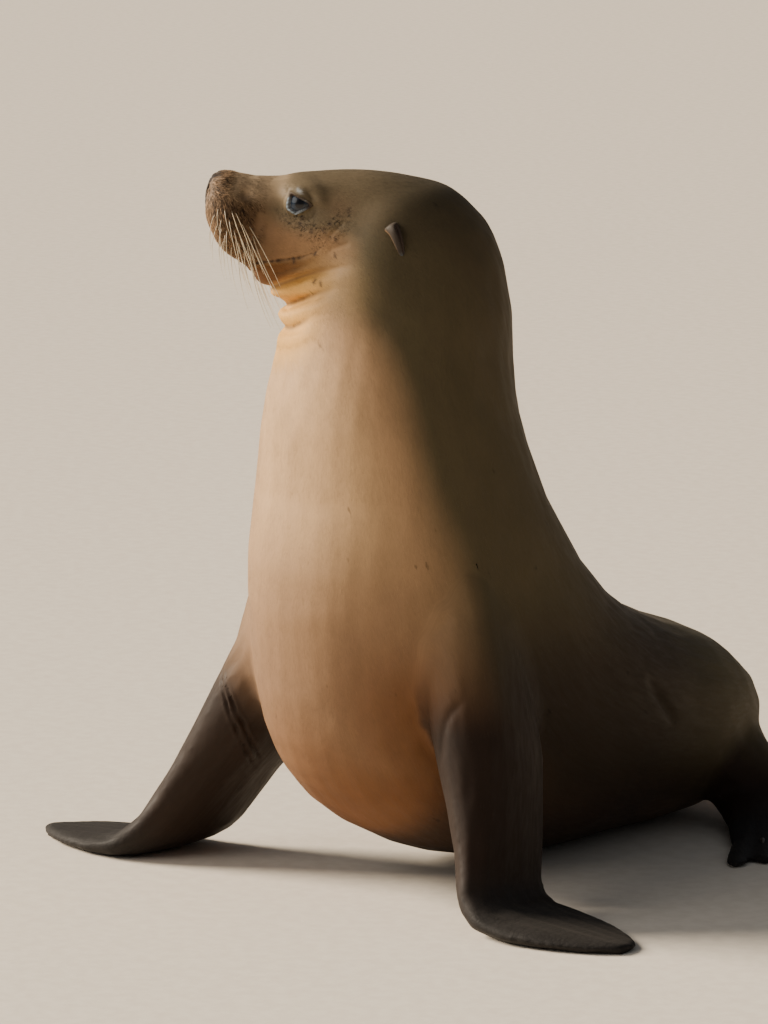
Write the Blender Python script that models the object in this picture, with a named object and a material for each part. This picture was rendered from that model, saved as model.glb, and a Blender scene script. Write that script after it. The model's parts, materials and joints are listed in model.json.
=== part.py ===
"""A young sea lion sitting upright, as a still, life-size museum model.

Run with: blender --background --python part.py

The trunk with the neck, the head, the flippers and the tail are lofted one by one, in metres, grown
into one flesh, softened where they meet, and parted by thin gaps into the pieces that a person would
name. +Z is up, the trunk faces -Y and the animal's left side is +X. The head turns to its right. The
origin is on the floor, below the middle of the model's box.
"""

import collections
import math

import bmesh
import bpy
import numpy as np
from mathutils import Matrix, Vector
from mathutils.bvhtree import BVHTree

# Pose
HEAD_CENTRE = (-0.007, 0.006, 0.6640)  # midway between the ears
HEAD_TURN = math.radians(-48)
HEAD_LIFT = math.radians(10)
STANCE = {"right": (0.0, 0.0), "left": (0.020, -0.030)}  # set outwards at the armpit and the wrist
SIDES = {"right": -1, "left": 1}
FOOT_TURN = math.radians(50)  # from straight ahead to straight out

# Making
GAP = 0.0003  # left between pieces that meet
VOXEL = 0.003
SECTION_POINTS = 48
SOFTENED_WITHIN = 0.030  # of where two masses meet
SOFTENING = 120
SMOOTHING = 4
LIMB_STUB = 0.004  # how far a flipper's root stays on the trunk
HEAD_TRIANGLES, BODY_TRIANGLES = 1900, 2250
HEAD_WITHIN = 0.145  # of the middle of the head

# Places on the head are (forwards from the ears, aside, up), and its routes are (forwards, up)
EYE_CENTRE = (0.0885, 0.0295, 0.0195)
EYE_RADIUS = 0.0175
NOSE_CENTRE = (0.1755, 0.0, 0.0150)
NOSE_RADII = (0.0130, 0.0185, 0.0140)
MOUTH = [
    (0.1500, -0.0590),  # clear of the lips
    (0.1295, -0.0500),
    (0.1150, -0.0445),
    (0.0960, -0.0380),
    (0.0780, -0.0305),
    (0.0660, -0.0225),
    (0.0570, -0.0110),  # corner of the mouth
    (0.0480, -0.0180),
    (0.0440, -0.0450),
    (0.0420, -0.0700),  # behind the jaw
]
THROAT_FOLD = [
    (0.1300, -0.0860),
    (0.1055, -0.0738),
    (0.0935, -0.0640),
    (0.0779, -0.0530),
    (0.0596, -0.0410),
    (0.0408, -0.0315),
    (0.0236, -0.0270),
]
SECOND_FOLD = [(0.1060, -0.0950), (0.0880, -0.0885), (0.0739, -0.0765), (0.0558, -0.0615), (0.0375, -0.0495)]
THIRD_FOLD = [(0.0900, -0.1130), (0.0770, -0.1055), (0.0680, -0.0960), (0.0590, -0.0850)]
NECKLINE = [
    *THROAT_FOLD,
    (-0.0200, -0.0330),
    (-0.0450, -0.0050),  # behind the ear
    (-0.0600, 0.0350),
    (-0.0760, 0.1100),
]
EAR_ROOT = (-0.0045, 0.0145)
FOLD_DEPTH, FOLD_WIDTH = 0.0030, 0.0045

# Swellings and hollows of the head: centre, radii, push
HEAD_SHAPING = {
    "whisker pad": ((0.158, 0.032, -0.016), (0.024, 0.018, 0.022), (0.001, 0.005, 0.000)),
    "side of the muzzle": ((0.124, 0.042, -0.002), (0.016, 0.012, 0.016), (0.000, -0.003, 0.000)),
    "eye socket": ((0.096, 0.048, 0.017), (0.022, 0.016, 0.013), (0.000, -0.003, 0.000)),
    "brow": ((0.086, 0.040, 0.038), (0.022, 0.013, 0.010), (0.000, 0.003, 0.003)),
    "cheek": ((0.062, 0.060, -0.018), (0.028, 0.018, 0.020), (0.000, 0.003, 0.000)),
    "front of the muzzle": ((0.186, 0.000, -0.006), (0.024, 0.040, 0.034), (-0.004, 0.000, 0.000)),
    "lower lip": ((0.136, 0.000, -0.056), (0.022, 0.034, 0.014), (-0.004, 0.000, 0.003)),
    "chin": ((0.112, 0.000, -0.067), (0.014, 0.022, 0.010), (-0.002, 0.000, 0.001)),
    "upper throat roll": ((0.094, 0.000, -0.081), (0.018, 0.034, 0.009), (0.010, 0.000, 0.001)),
    "lower throat roll": ((0.082, 0.000, -0.098), (0.018, 0.036, 0.011), (0.005, 0.000, 0.000)),
}

NECK_BASE = [(-0.30, 0.385), (0.30, 0.545)]  # (y, z), where the neck ends and the trunk begins

TOES = 5
TOE_SPREAD = math.radians(9)
TOE_REACH = (0.205, 0.186, 0.178, 0.182, 0.200)  # from the heel, inner toe first
TOE_ROOT = 0.095
TOE_WIDTH, TOE_THICKNESS = 0.025, 0.012
TOE_STATIONS = [  # share of the reach, of the width and of the thickness
    (0.00, 0.8, 1.3),
    (0.35, 1.0, 1.1),
    (0.70, 1.0, 0.9),
    (0.92, 0.8, 0.7),
    (1.00, 0.3, 0.5),
]
HEEL = (0.132, 0.444)
CLAWED_TOES = (1, 2, 3)
CLAW_AT = 0.125  # from the heel
CLAW_LENGTH, CLAW_WIDTH, CLAW_HEIGHT = 0.015, 0.0050, 0.0050


def clear_scene():
    for obj in list(bpy.data.objects):
        bpy.data.objects.remove(obj, do_unlink=True)


def material(name, colour, roughness):
    made = bpy.data.materials.new(name)
    made.use_nodes = True
    shader = made.node_tree.nodes["Principled BSDF"]
    shader.inputs["Base Color"].default_value = (*colour, 1.0)
    shader.inputs["Roughness"].default_value = roughness
    shader.inputs["Metallic"].default_value = 0.0
    return made


def linked(name, mesh):
    """An object that holds the bmesh, which is freed."""
    data = bpy.data.meshes.new(name)
    mesh.to_mesh(data)
    mesh.free()
    obj = bpy.data.objects.new(name, data)
    bpy.context.scene.collection.objects.link(obj)
    return obj


def finish(obj, name, look):
    obj.name = name
    obj.data.name = name
    obj.data.materials.clear()
    obj.data.materials.append(look)
    obj.data.shade_smooth()
    obj.data.set_sharp_from_angle(angle=math.radians(50))
    return obj


# ---------------------------------------------------------------- lofting


def through(rows, count):
    """A smooth curve through the rows, read at evenly spaced places along their first three columns."""
    rows = np.array(rows, float)
    steps = np.linalg.norm(np.diff(rows[:, :3], axis=0), axis=1)
    along = np.concatenate([[0], np.cumsum(steps)])
    slopes = np.gradient(rows, along, axis=0)
    at = np.linspace(0, along[-1], count)
    i = np.clip(np.searchsorted(along, at, side="right") - 1, 0, len(along) - 2)
    span = (along[i + 1] - along[i])[:, None]
    t = (at - along[i])[:, None] / span
    return (
        (2 * t**3 - 3 * t**2 + 1) * rows[i]
        + (t**3 - 2 * t**2 + t) * span * slopes[i]
        + (3 * t**2 - 2 * t**3) * rows[i + 1]
        + (t**3 - t**2) * span * slopes[i + 1]
    )


def around(count=SECTION_POINTS):
    """Cosines and sines of the angles round a section."""
    angle = np.linspace(0, 2 * math.pi, count, endpoint=False)
    return np.cos(angle), np.sin(angle)


def rounded(value, squareness):
    """A cosine or sine pushed out towards a box as squareness rises above 2."""
    return np.sign(value) * np.abs(value) ** (2 / squareness)


def loft(name, sections):
    """A closed mesh through the sections, each an array of points, with flat ends."""
    mesh = bmesh.new()
    rings = [[mesh.verts.new(point) for point in section] for section in sections]
    for ring, following in zip(rings, rings[1:]):
        for k, corner in enumerate(ring):
            beside = (k + 1) % len(ring)
            mesh.faces.new((corner, ring[beside], following[beside], following[k]))
    mesh.faces.new(reversed(rings[0]))
    mesh.faces.new(rings[-1])
    bmesh.ops.recalc_face_normals(mesh, faces=mesh.faces)
    return linked(name, mesh)


# ---------------------------------------------------------------- masses


def trunk_and_neck(name="trunk_mass", grown=0.0, detail=1.0):
    """From the root of the tail over the back to the crown, in the plane of symmetry."""
    stations = [  # y, z, how far the back and the belly stand from there, half width, turn
        (0.540, 0.078, 0.010, 0.010, 0.014, 0),  # end of the rump
        (0.530, 0.084, 0.036, 0.046, 0.048, 0),
        (0.500, 0.096, 0.064, 0.090, 0.090, 0),
        (0.455, 0.108, 0.086, 0.112, 0.116, 0),
        (0.410, 0.120, 0.094, 0.126, 0.130, 0),  # hips
        (0.330, 0.142, 0.099, 0.150, 0.140, 0),  # loin
        (0.235, 0.177, 0.106, 0.194, 0.152, 0),  # waist
        (0.150, 0.227, 0.118, 0.236, 0.156, 0),  # ribs
        (0.078, 0.292, 0.131, 0.250, 0.156, 0),  # chest
        (0.032, 0.362, 0.135, 0.190, 0.150, 0),  # breast
        (0.010, 0.432, 0.133, 0.140, 0.139, 0),  # shoulders
        (0.003, 0.492, 0.130, 0.124, 0.127, -7),
        (0.004, 0.552, 0.127, 0.108, 0.116, -19),  # neck
        (0.009, 0.607, 0.121, 0.095, 0.106, -35),
        (0.012, 0.649, 0.108, 0.084, 0.092, -48),  # nape
        (0.010, 0.684, 0.085, 0.066, 0.074, -48),
        (0.008, 0.709, 0.056, 0.042, 0.052, -48),
        (0.006, 0.722, 0.020, 0.015, 0.018, -48),  # crown
    ]
    rows = through([(0, *s) for s in stations], round(72 * detail))
    cosine, sine = around(round(SECTION_POINTS * detail))
    sections = []
    for k, (_, y, z, back, belly, half_width, turn) in enumerate(rows):
        behind, ahead = rows[max(k - 1, 0)], rows[min(k + 1, len(rows) - 1)]
        run, rise = ahead[1] - behind[1], ahead[2] - behind[2]
        outwards = np.array([0, rise, -run]) / math.hypot(run, rise)
        reach = (np.where(sine > 0, back, belly) + grown) * rounded(sine, 2.1)
        across = (half_width + grown) * rounded(cosine, 2.15)
        section = np.outer(across, (1, 0, 0)) + np.outer(reach, outwards)
        turned = section @ np.array(Matrix.Rotation(math.radians(turn), 3, "Z")).T
        sections.append(turned + (0, y, z))
    return loft(name, sections)


def head_place():
    """The matrix from the head's own frame, where the nose points to -Y, to its pose."""
    return (
        Matrix.Translation(HEAD_CENTRE)
        @ Matrix.Rotation(HEAD_TURN, 4, "Z")
        @ Matrix.Rotation(-HEAD_LIFT, 4, "X")
    )


def on_head(place, side=1):
    """A place on the head, in the model's frame."""
    forwards, aside, up = place
    return head_place() @ Vector((side * aside, -forwards, up))


def head_mass():
    stations = [  # forwards, height of the top, of the widest level and of the underside, half width
        (0.1890, 0.0160, 0.0100, 0.0020, 0.010),  # tip of the nose
        (0.1860, 0.0260, 0.0090, -0.0080, 0.019),
        (0.1770, 0.0330, 0.0050, -0.0230, 0.028),
        (0.1610, 0.0355, -0.0050, -0.0410, 0.036),  # whisker pads
        (0.1390, 0.0360, -0.0150, -0.0560, 0.038),
        (0.1150, 0.0400, -0.0200, -0.0720, 0.041),
        (0.0900, 0.0480, -0.0160, -0.0790, 0.050),  # eyes
        (0.0600, 0.0560, -0.0140, -0.0820, 0.060),  # cheeks
        (0.0250, 0.0620, -0.0120, -0.0880, 0.069),
        (-0.0100, 0.0630, -0.0100, -0.0920, 0.075),  # ears
        (-0.0450, 0.0560, -0.0080, -0.0860, 0.076),
        (-0.0780, 0.0380, -0.0060, -0.0680, 0.064),
        (-0.1000, 0.0130, -0.0050, -0.0380, 0.034),  # back of the skull
    ]
    rows = through([(s[0], 0, 0, *s[1:]) for s in stations], 48)
    cosine, sine = around()
    sections = []
    for forwards, _, _, top, widest, under, half_width in rows:
        height = np.where(sine > 0, top - widest, widest - under) * rounded(sine, 2.1)
        across = half_width * rounded(cosine, 2.2)
        depth = np.full_like(across, -forwards)
        sections.append(np.stack([across, depth, widest + height], axis=1))
    made = loft("head_mass", sections)
    made.data.transform(head_place())
    return made


def blade(name, side, rows, count, bulk=0.35):
    """A flipper between two edges, from rows of leading edge, trailing edge and thickness."""
    table = through([(*lead, *trail, thick) for lead, trail, thick in rows], count)
    lead, trail, thick = table[:, :3], table[:, 3:6], table[:, 6]
    middle = (lead + trail) / 2
    chord = lead - trail
    lift = np.cross(np.gradient(middle, axis=0), chord)
    lift /= np.linalg.norm(lift, axis=1)[:, None]
    cosine, sine = around(32)
    sections = [
        m + np.outer(rounded(cosine, 2.3), c / 2) + np.outer(sine * (1 + bulk * cosine), u * t / 2)
        for m, c, u, t in zip(middle, chord, lift, thick)
    ]
    return loft(name, [section * (side, 1, 1) for section in sections])


def fore_flipper_mass(side):
    """The arm comes down from the shoulder, and the hand lies flat and points outwards."""
    rows = [
        ((0.070, -0.048, 0.400), (0.070, 0.062, 0.380), 0.110),  # within the breast
        ((0.094, -0.066, 0.312), (0.092, 0.074, 0.290), 0.112),  # shoulder
        ((0.124, -0.080, 0.232), (0.112, 0.070, 0.204), 0.082),  # armpit
        ((0.162, -0.091, 0.164), (0.146, 0.055, 0.142), 0.070),
        ((0.196, -0.101, 0.107), (0.181, 0.036, 0.090), 0.052),  # forearm
        ((0.223, -0.113, 0.063), (0.204, 0.020, 0.050), 0.041),
        ((0.242, -0.126, 0.034), (0.222, 0.010, 0.025), 0.034),  # wrist
        ((0.262, -0.134, 0.018), (0.244, 0.006, 0.012), 0.028),
        ((0.295, -0.136, 0.010), (0.280, 0.002, 0.008), 0.022),
        ((0.332, -0.130, 0.008), (0.322, -0.006, 0.006), 0.018),  # hand
        ((0.368, -0.116, 0.006), (0.362, -0.022, 0.005), 0.014),
        ((0.396, -0.100, 0.005), (0.393, -0.040, 0.004), 0.011),
        ((0.412, -0.087, 0.004), (0.411, -0.056, 0.004), 0.009),  # tip
    ]
    root, armpit, wrist = (rows[k][0][0] for k in (1, 2, 6))

    def set_out(point):
        x, y, z = point
        return (x + np.interp(x, (root, armpit, wrist), (0, *STANCE[side])), y, z)

    stood = [(set_out(lead), set_out(trail), thick) for lead, trail, thick in rows]
    return blade(f"fore_{side}_mass", SIDES[side], stood, 40)


def from_heel(distance, angle, z):
    """A place in front of the right or left heel, before mirroring."""
    x, y = HEEL
    return Vector((x + distance * math.sin(angle), y - distance * math.cos(angle), z))


def toe_angle(toe):
    return FOOT_TURN + (toe - (TOES - 1) / 2) * TOE_SPREAD


def hind_flipper_mass(side):
    """The foot comes out under the hip, turned forwards, and lies flat with its five toes spread."""
    across = Vector((-math.cos(FOOT_TURN), -math.sin(FOOT_TURN), 0))
    rows = [
        ((0.045, 0.370, 0.095), (0.045, 0.485, 0.090), 0.100),  # within the rump
        ((0.100, 0.385, 0.062), (0.104, 0.495, 0.058), 0.080),
    ]
    for distance, width, thick in (
        (0.000, 0.096, 0.056),  # heel
        (0.040, 0.088, 0.035),
        (0.080, 0.094, 0.022),
        (0.115, 0.106, 0.014),
        (0.145, 0.113, 0.008),  # edge of the web
    ):
        centre = from_heel(distance, FOOT_TURN, thick / 2 - 0.001)
        rows.append((tuple(centre + across * width / 2), tuple(centre - across * width / 2), thick))
    parts = [blade("foot", SIDES[side], rows, 32, bulk=0.0)]
    for toe, reach in enumerate(TOE_REACH):
        angle = toe_angle(toe)
        beside = Vector((-math.cos(angle), -math.sin(angle), 0))
        toe_rows = []
        for share, wide, deep in TOE_STATIONS:
            distance = TOE_ROOT * (1 - share) + reach * share
            centre = from_heel(distance, angle, TOE_THICKNESS * deep / 2 - 0.001)
            half = beside * TOE_WIDTH * wide / 2
            toe_rows.append((tuple(centre + half), tuple(centre - half), TOE_THICKNESS * deep))
        parts.append(blade("toe", SIDES[side], toe_rows, 16, bulk=0.0))
    whole = joined(f"hind_{side}_mass", parts)
    for made in parts:
        bpy.data.objects.remove(made)
    return whole


def tail_mass():
    """A short flattened cone between the hind flippers."""
    stations = [  # y, z, half width, half thickness
        (0, 0.480, 0.092, 0.048, 0.040),
        (0, 0.535, 0.064, 0.034, 0.024),
        (0, 0.570, 0.044, 0.025, 0.016),
        (0, 0.592, 0.032, 0.018, 0.011),
        (0, 0.602, 0.026, 0.009, 0.006),
    ]
    cosine, sine = around(24)
    sections = []
    for _, y, z, half_width, half_thick in through(stations, 20):
        section = [half_width * cosine, y + 0.5 * half_thick * sine, z + half_thick * sine]
        sections.append(np.stack(section, axis=1))
    return loft("tail_mass", sections)


def ear_mass(root, outwards, side, grown=0.0):
    """A small rolled cone that hangs back and down from its root on the side of the head."""
    stations = [  # outwards, back and down from the root, half width, half thickness
        (-0.0060 - grown, -0.0040, -0.0040, 0.0062, 0.0055),
        (0.0020, -0.0010, -0.0020, 0.0066, 0.0050),
        (0.0080, 0.0035, 0.0040, 0.0062, 0.0044),
        (0.0110, 0.0085, 0.0120, 0.0055, 0.0038),
        (0.0118, 0.0130, 0.0205, 0.0042, 0.0030),
        (0.0115, 0.0160, 0.0270, 0.0017, 0.0015),
    ]
    turn = head_place().to_3x3()
    back, down = turn @ Vector((0, 1, 0)), turn @ Vector((0, 0, -1))
    across = (back - down).normalized()
    cosine, sine = around(10)
    sections = []
    for out, to_back, to_foot, half_width, half_thick in through(stations, 10):
        centre = root + outwards * out + back * to_back + down * to_foot
        section = np.outer((half_width + grown) * cosine, across)
        section += np.outer((half_thick + grown) * sine, outwards)
        sections.append(section + centre)
    return loft("ear_mass", sections[::-side])


# ---------------------------------------------------------------- flesh


def apply_modifiers(obj):
    graph = bpy.context.evaluated_depsgraph_get()
    data = bpy.data.meshes.new_from_object(obj.evaluated_get(graph))
    obj.modifiers.clear()
    obj.data = data


def joined(name, masses):
    """One mesh that holds all the masses, still overlapping."""
    mesh = bmesh.new()
    for mass in masses:
        mesh.from_mesh(mass.data)
    return linked(name, mesh)


def thin_out(flesh, free, triangles):
    """Thins the mesh to about that many triangles where free holds, and leaves the rest as it is."""
    group = flesh.vertex_groups.new(name="free")
    loose = [vertex.index for vertex in flesh.data.vertices if free(vertex.co)]
    group.add(loose, 1.0, "REPLACE")
    chosen = set(loose)
    counts = [(len(face.vertices) - 2, face.vertices[0] in chosen) for face in flesh.data.polygons]
    whole = sum(count for count, _ in counts)
    thinned = sum(count for count, inside in counts if inside)
    thin = flesh.modifiers.new("thin_out", "DECIMATE")
    thin.vertex_group = group.name
    thin.ratio = (whole - thinned + triangles) / whole
    apply_modifiers(flesh)


def surface(mass):
    corners = [vertex.co for vertex in mass.data.vertices]
    return BVHTree.FromPolygons(corners, [face.vertices[:] for face in mass.data.polygons])


def where_masses_meet(flesh, masses):
    """A vertex group that is 1 where two masses meet and falls off with the distance from there."""
    group = flesh.vertex_groups.new(name="meeting")
    surfaces = [surface(mass) for mass in masses]
    for vertex in flesh.data.vertices:
        second = sorted(found.find_nearest(vertex.co)[3] for found in surfaces)[1]
        group.add([vertex.index], math.exp(-((second / SOFTENED_WITHIN) ** 2)), "REPLACE")
    return group.name


def soften(flesh, iterations, group=""):
    smooth = flesh.modifiers.new("soften", "SMOOTH")
    smooth.factor = 0.5
    smooth.iterations = iterations
    smooth.vertex_group = group


def head_coordinates(flesh):
    """Each vertex's place on the head, as columns of forwards, aside and up."""
    points = np.array([vertex.co for vertex in flesh.data.vertices])
    back = np.array(head_place().inverted())
    local = points @ back[:3, :3].T + back[:3, 3]
    return local[:, [1, 0, 2]] * (-1, 1, 1)


def along_route(places, route):
    """For each (forwards, up) place, its distance from the route and how far along it that is, 0 to 1."""
    route = np.array(route)
    nearest = np.full(len(places), np.inf)
    share = np.zeros(len(places))
    for k, (start, end) in enumerate(zip(route, route[1:])):
        step = end - start
        t = np.clip((places - start) @ step / (step @ step), 0, 1)
        gap = np.linalg.norm(places - start - t[:, None] * step, axis=1)
        share = np.where(gap < nearest, (k + t) / (len(route) - 1), share)
        nearest = np.minimum(gap, nearest)
    return nearest, share


def shape_head(flesh):
    """Presses the throat's folds in, and pushes the swellings and hollows of HEAD_SHAPING."""
    place = head_coordinates(flesh)
    near = np.linalg.norm(place, axis=1) < 0.25
    push = np.zeros_like(place)
    for centre, radii, reach in HEAD_SHAPING.values():
        for side in (-1, 1) if centre[1] else (1,):
            mirror = np.array((1, side, 1))
            away = (place - centre * mirror) / radii
            push += np.exp(-(away**2).sum(axis=1))[:, None] * reach * mirror
    push = push[:, [1, 0, 2]] * (1, -1, 1)
    moved = push @ np.array(head_place())[:3, :3].T
    normals = np.array([vertex.normal for vertex in flesh.data.vertices])
    for route in (THROAT_FOLD, SECOND_FOLD, THIRD_FOLD):
        gap, share = along_route(place[:, [0, 2]], route)
        crease = -np.exp(-((gap / FOLD_WIDTH) ** 2))
        lip = 0.6 * np.exp(-(((gap - 2.2 * FOLD_WIDTH) / FOLD_WIDTH) ** 2))
        depth = FOLD_DEPTH * (crease + lip) * np.clip(2 * (1 - share), 0, 1)
        moved += depth[:, None] * normals
    for vertex, step in zip(flesh.data.vertices, moved * near[:, None]):
        vertex.co += Vector(step)


def one_flesh(masses):
    """The masses grown together, softened where they meet, and flat where they rest on the floor."""
    flesh = joined("flesh", masses)
    remesh = flesh.modifiers.new("grow_together", "REMESH")
    remesh.mode = "VOXEL"
    remesh.voxel_size = VOXEL
    apply_modifiers(flesh)
    soften(flesh, SOFTENING, where_masses_meet(flesh, masses))
    soften(flesh, SMOOTHING)
    apply_modifiers(flesh)
    shape_head(flesh)
    for vertex in flesh.data.vertices:
        vertex.co.z = max(vertex.co.z, 0.0)
    middle_of_head = on_head((0.06, 0, 0))
    thin_out(flesh, lambda place: (place - middle_of_head).length > HEAD_WITHIN, BODY_TRIANGLES)
    thin_out(flesh, lambda place: (place - middle_of_head).length < HEAD_WITHIN, HEAD_TRIANGLES)
    return flesh


# ---------------------------------------------------------------- parting


def wall(route, half_span, place=None):
    """A thin upright sheet through a route of (y, z) points, spanning x both ways."""
    mesh = bmesh.new()
    rows = [[mesh.verts.new((x, y, z)) for x in (-half_span, half_span)] for y, z in route]
    for (left, right), (next_left, next_right) in zip(rows, rows[1:]):
        mesh.faces.new((left, right, next_right, next_left))
    made = linked("wall", mesh)
    made.data.transform(place or Matrix.Identity(4))
    return thickened(made)


def thickened(sheet):
    """The sheet as a wall of flat facets, as thick as the gap."""
    sheet.modifiers.new("facets", "TRIANGULATE")
    solid = sheet.modifiers.new("thicken", "SOLIDIFY")
    solid.thickness = GAP
    solid.offset = 0.0
    solid.use_even_offset = True
    apply_modifiers(sheet)
    return sheet


def head_wall(route, half_span=0.15):
    return wall([(-forwards, up) for forwards, up in route], half_span, head_place())


def boolean(obj, cutter, operation):
    cut = obj.modifiers.new("cut", "BOOLEAN")
    cut.operation = operation
    cut.object = cutter
    cut.use_self = True
    apply_modifiers(obj)


def pieces_of(obj):
    """The obj's loose pieces as objects of their own, biggest first. The obj goes."""
    mesh = bmesh.new()
    mesh.from_mesh(obj.data)
    faces_over = collections.Counter(frozenset(face.verts) for face in mesh.faces)
    waiting = set(mesh.verts)
    islands = []
    while waiting:
        seed = waiting.pop()
        island, edge = {seed}, [seed]
        while edge:
            beside = {link.other_vert(vertex) for vertex in edge for link in vertex.link_edges} - island
            island |= beside
            edge = list(beside)
        waiting -= island
        islands.append(island)
    islands.sort(key=len, reverse=True)
    made = []
    for island in islands:
        piece = bmesh.new()
        copies = {vertex: piece.verts.new(vertex.co) for vertex in sorted(island, key=lambda v: v.index)}
        for face in mesh.faces:
            # Two faces back to back over the same corners hold nothing between them
            if face.verts[0] in island and faces_over[frozenset(face.verts)] == 1:
                piece.faces.new([copies[vertex] for vertex in face.verts])
        made.append(linked("piece", piece))
    mesh.free()
    bpy.data.objects.remove(obj)
    return made


def middle(obj):
    return sum((vertex.co for vertex in obj.data.vertices), Vector()) / len(obj.data.vertices)


def part(obj, cutter, places):
    """Cuts along the cutter. Returns the pieces by name, each the one nearest to its place."""
    boolean(obj, cutter, "DIFFERENCE")
    bpy.data.objects.remove(cutter)
    found = pieces_of(obj)
    for crumb in found[len(places) :]:
        bpy.data.objects.remove(crumb)
    found = found[: len(places)]
    named = {}
    for name, place in places.items():
        named[name] = min(found, key=lambda piece: (middle(piece) - Vector(place)).length)
        found.remove(named[name])
    return named


def ball(name, centre, radii, segments=14, rings=8):
    mesh = bmesh.new()
    bmesh.ops.create_uvsphere(mesh, u_segments=segments, v_segments=rings, radius=1.0)
    bmesh.ops.transform(mesh, matrix=Matrix.Diagonal((*radii, 1.0)), verts=mesh.verts)
    made = linked(name, mesh)
    made.data.transform(Matrix.Translation(centre))
    return made


def part_flesh(flesh):
    """The flesh cut into head, lower jaw, neck, trunk, flippers and tail, by name."""
    head = on_head((0.05, 0, 0))
    body = (0, 0.2, 0.2)
    pieces = part(flesh, head_wall(NECKLINE), {"head": head, "body": body})
    pieces |= part(pieces["body"], wall(NECK_BASE, 0.3), {"neck": (0, 0, 0.6), "body": body})
    jaw = on_head((0.09, 0, -0.06))
    pieces |= part(pieces["head"], head_wall(MOUTH), {"lower_jaw": jaw, "head": head})
    roots = {"trunk": (0, 0.15, 0.2), "tail": (0, 0.58, 0.05)}
    for side, sign in SIDES.items():
        roots[f"fore_flipper_{side}"] = (sign * 0.25, -0.06, 0.03)
        roots[f"hind_flipper_{side}"] = (sign * 0.22, 0.40, 0.02)
    shell = thickened(trunk_and_neck("shell", grown=LIMB_STUB, detail=0.5))
    return pieces | part(pieces.pop("body"), shell, roots)


def set_in(pieces, name, piece, bed_shape):
    """Puts a piece in a bed cut from the named flesh, which leaves the gap round it."""
    boolean(pieces[name], bed_shape, "DIFFERENCE")
    bpy.data.objects.remove(bed_shape)
    return piece


def eye(pieces, side):
    sign = SIDES[side]
    radii = np.full(3, EYE_RADIUS)
    centre = on_head(EYE_CENTRE, sign)
    return set_in(pieces, "head", ball("eye", centre, radii), ball("socket", centre, radii + GAP))


def nose(pieces):
    """The bare tip of the muzzle, parted from the head along a rounded bed."""
    centre = on_head(NOSE_CENTRE)
    turn = head_place().to_3x3().to_4x4()
    radii = np.array(NOSE_RADII)[[1, 0, 2]]
    pad, bed = ball("pad", (0, 0, 0), radii), ball("bed", (0, 0, 0), radii + GAP)
    for shape in (pad, bed):
        shape.data.transform(Matrix.Translation(centre) @ turn)
    boolean(pad, pieces["head"], "INTERSECT")
    return set_in(pieces, "head", pad, bed)


def ear(pieces, side):
    """The ear stands in a bed on the side of the head."""
    sign = SIDES[side]
    beside = on_head((EAR_ROOT[0], 0.2, EAR_ROOT[1]), sign)
    inwards = on_head((EAR_ROOT[0], 0.0, EAR_ROOT[1])) - beside
    root, outwards, _, _ = surface(pieces["head"]).ray_cast(beside, inwards)
    bed = ear_mass(root, outwards, sign, grown=GAP)
    return set_in(pieces, "head", ear_mass(root, outwards, sign), bed)


def claws(pieces, side):
    """A nail on top of each of the three middle toes, part sunk in the skin."""
    sign = SIDES[side]
    foot = pieces[f"hind_flipper_{side}"]
    made = {}
    for count, toe in enumerate(CLAWED_TOES, start=1):
        above = from_heel(CLAW_AT, toe_angle(toe), 0.1)
        above.x *= sign
        skin = surface(foot).ray_cast(above, Vector((0, 0, -1)))[0]
        turn = Matrix.Rotation(sign * toe_angle(toe), 4, "Z")
        radii = np.array((CLAW_WIDTH, CLAW_LENGTH, CLAW_HEIGHT)) / 2
        nail, bed = ball("nail", (0, 0, 0), radii, 8, 6), ball("bed", (0, 0, 0), radii + GAP, 8, 6)
        for shape in (nail, bed):
            shape.data.transform(Matrix.Translation(skin) @ turn)
        made[f"claw_{side}_{count}"] = set_in(pieces, foot.name, nail, bed)
    return made


def stand_at_origin(objects):
    """Moves the model so that the origin is below the middle of its box."""
    corners = np.array([vertex.co for obj in objects for vertex in obj.data.vertices])
    low, high = corners.min(axis=0), corners.max(axis=0)
    shift = Matrix.Translation((-(low[0] + high[0]) / 2, -(low[1] + high[1]) / 2, -low[2]))
    for obj in objects:
        obj.data.transform(shift)


def main():
    clear_scene()
    masses = [trunk_and_neck(), head_mass(), tail_mass()]
    for side in SIDES:
        masses += [fore_flipper_mass(side), hind_flipper_mass(side)]
    flesh = one_flesh(masses)
    for mass in masses:
        bpy.data.objects.remove(mass)
    pieces = part_flesh(flesh)
    for name, piece in pieces.items():
        piece.name = name
    black = {"nose": nose(pieces)}
    eyes, ears, nails = {}, {}, {}
    for side in SIDES:
        eyes[f"eye_{side}"] = eye(pieces, side)
        ears[f"ear_{side}"] = ear(pieces, side)
        nails |= claws(pieces, side)
    stand_at_origin([*(pieces | black | eyes | ears | nails).values()])
    looks = [
        (material("coat", (0.20, 0.13, 0.08), 0.8), pieces | ears),
        (material("nose_skin", (0.03, 0.025, 0.022), 0.4), black),
        (material("eye", (0.012, 0.010, 0.010), 0.08), eyes),
        (material("claw", (0.05, 0.04, 0.035), 0.35), nails),
    ]
    for look, named in looks:
        for name, piece in named.items():
            finish(piece, name, look)


main()
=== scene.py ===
"""The looks of the sitting sea lion.

One skin over the flesh, a short flat coat, eyes, ears, whiskers and claws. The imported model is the
frame. Lengths are in metres. BASE is the spot on the floor below the shoulders, and places on the
body count from it. Places on the head are (forwards from the ears, aside, up), mirrored for the
other side.
"""

import json
import math

import bmesh
import bpy
import numpy as np
from mathutils import Matrix, Vector
from mathutils.bvhtree import BVHTree

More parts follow.
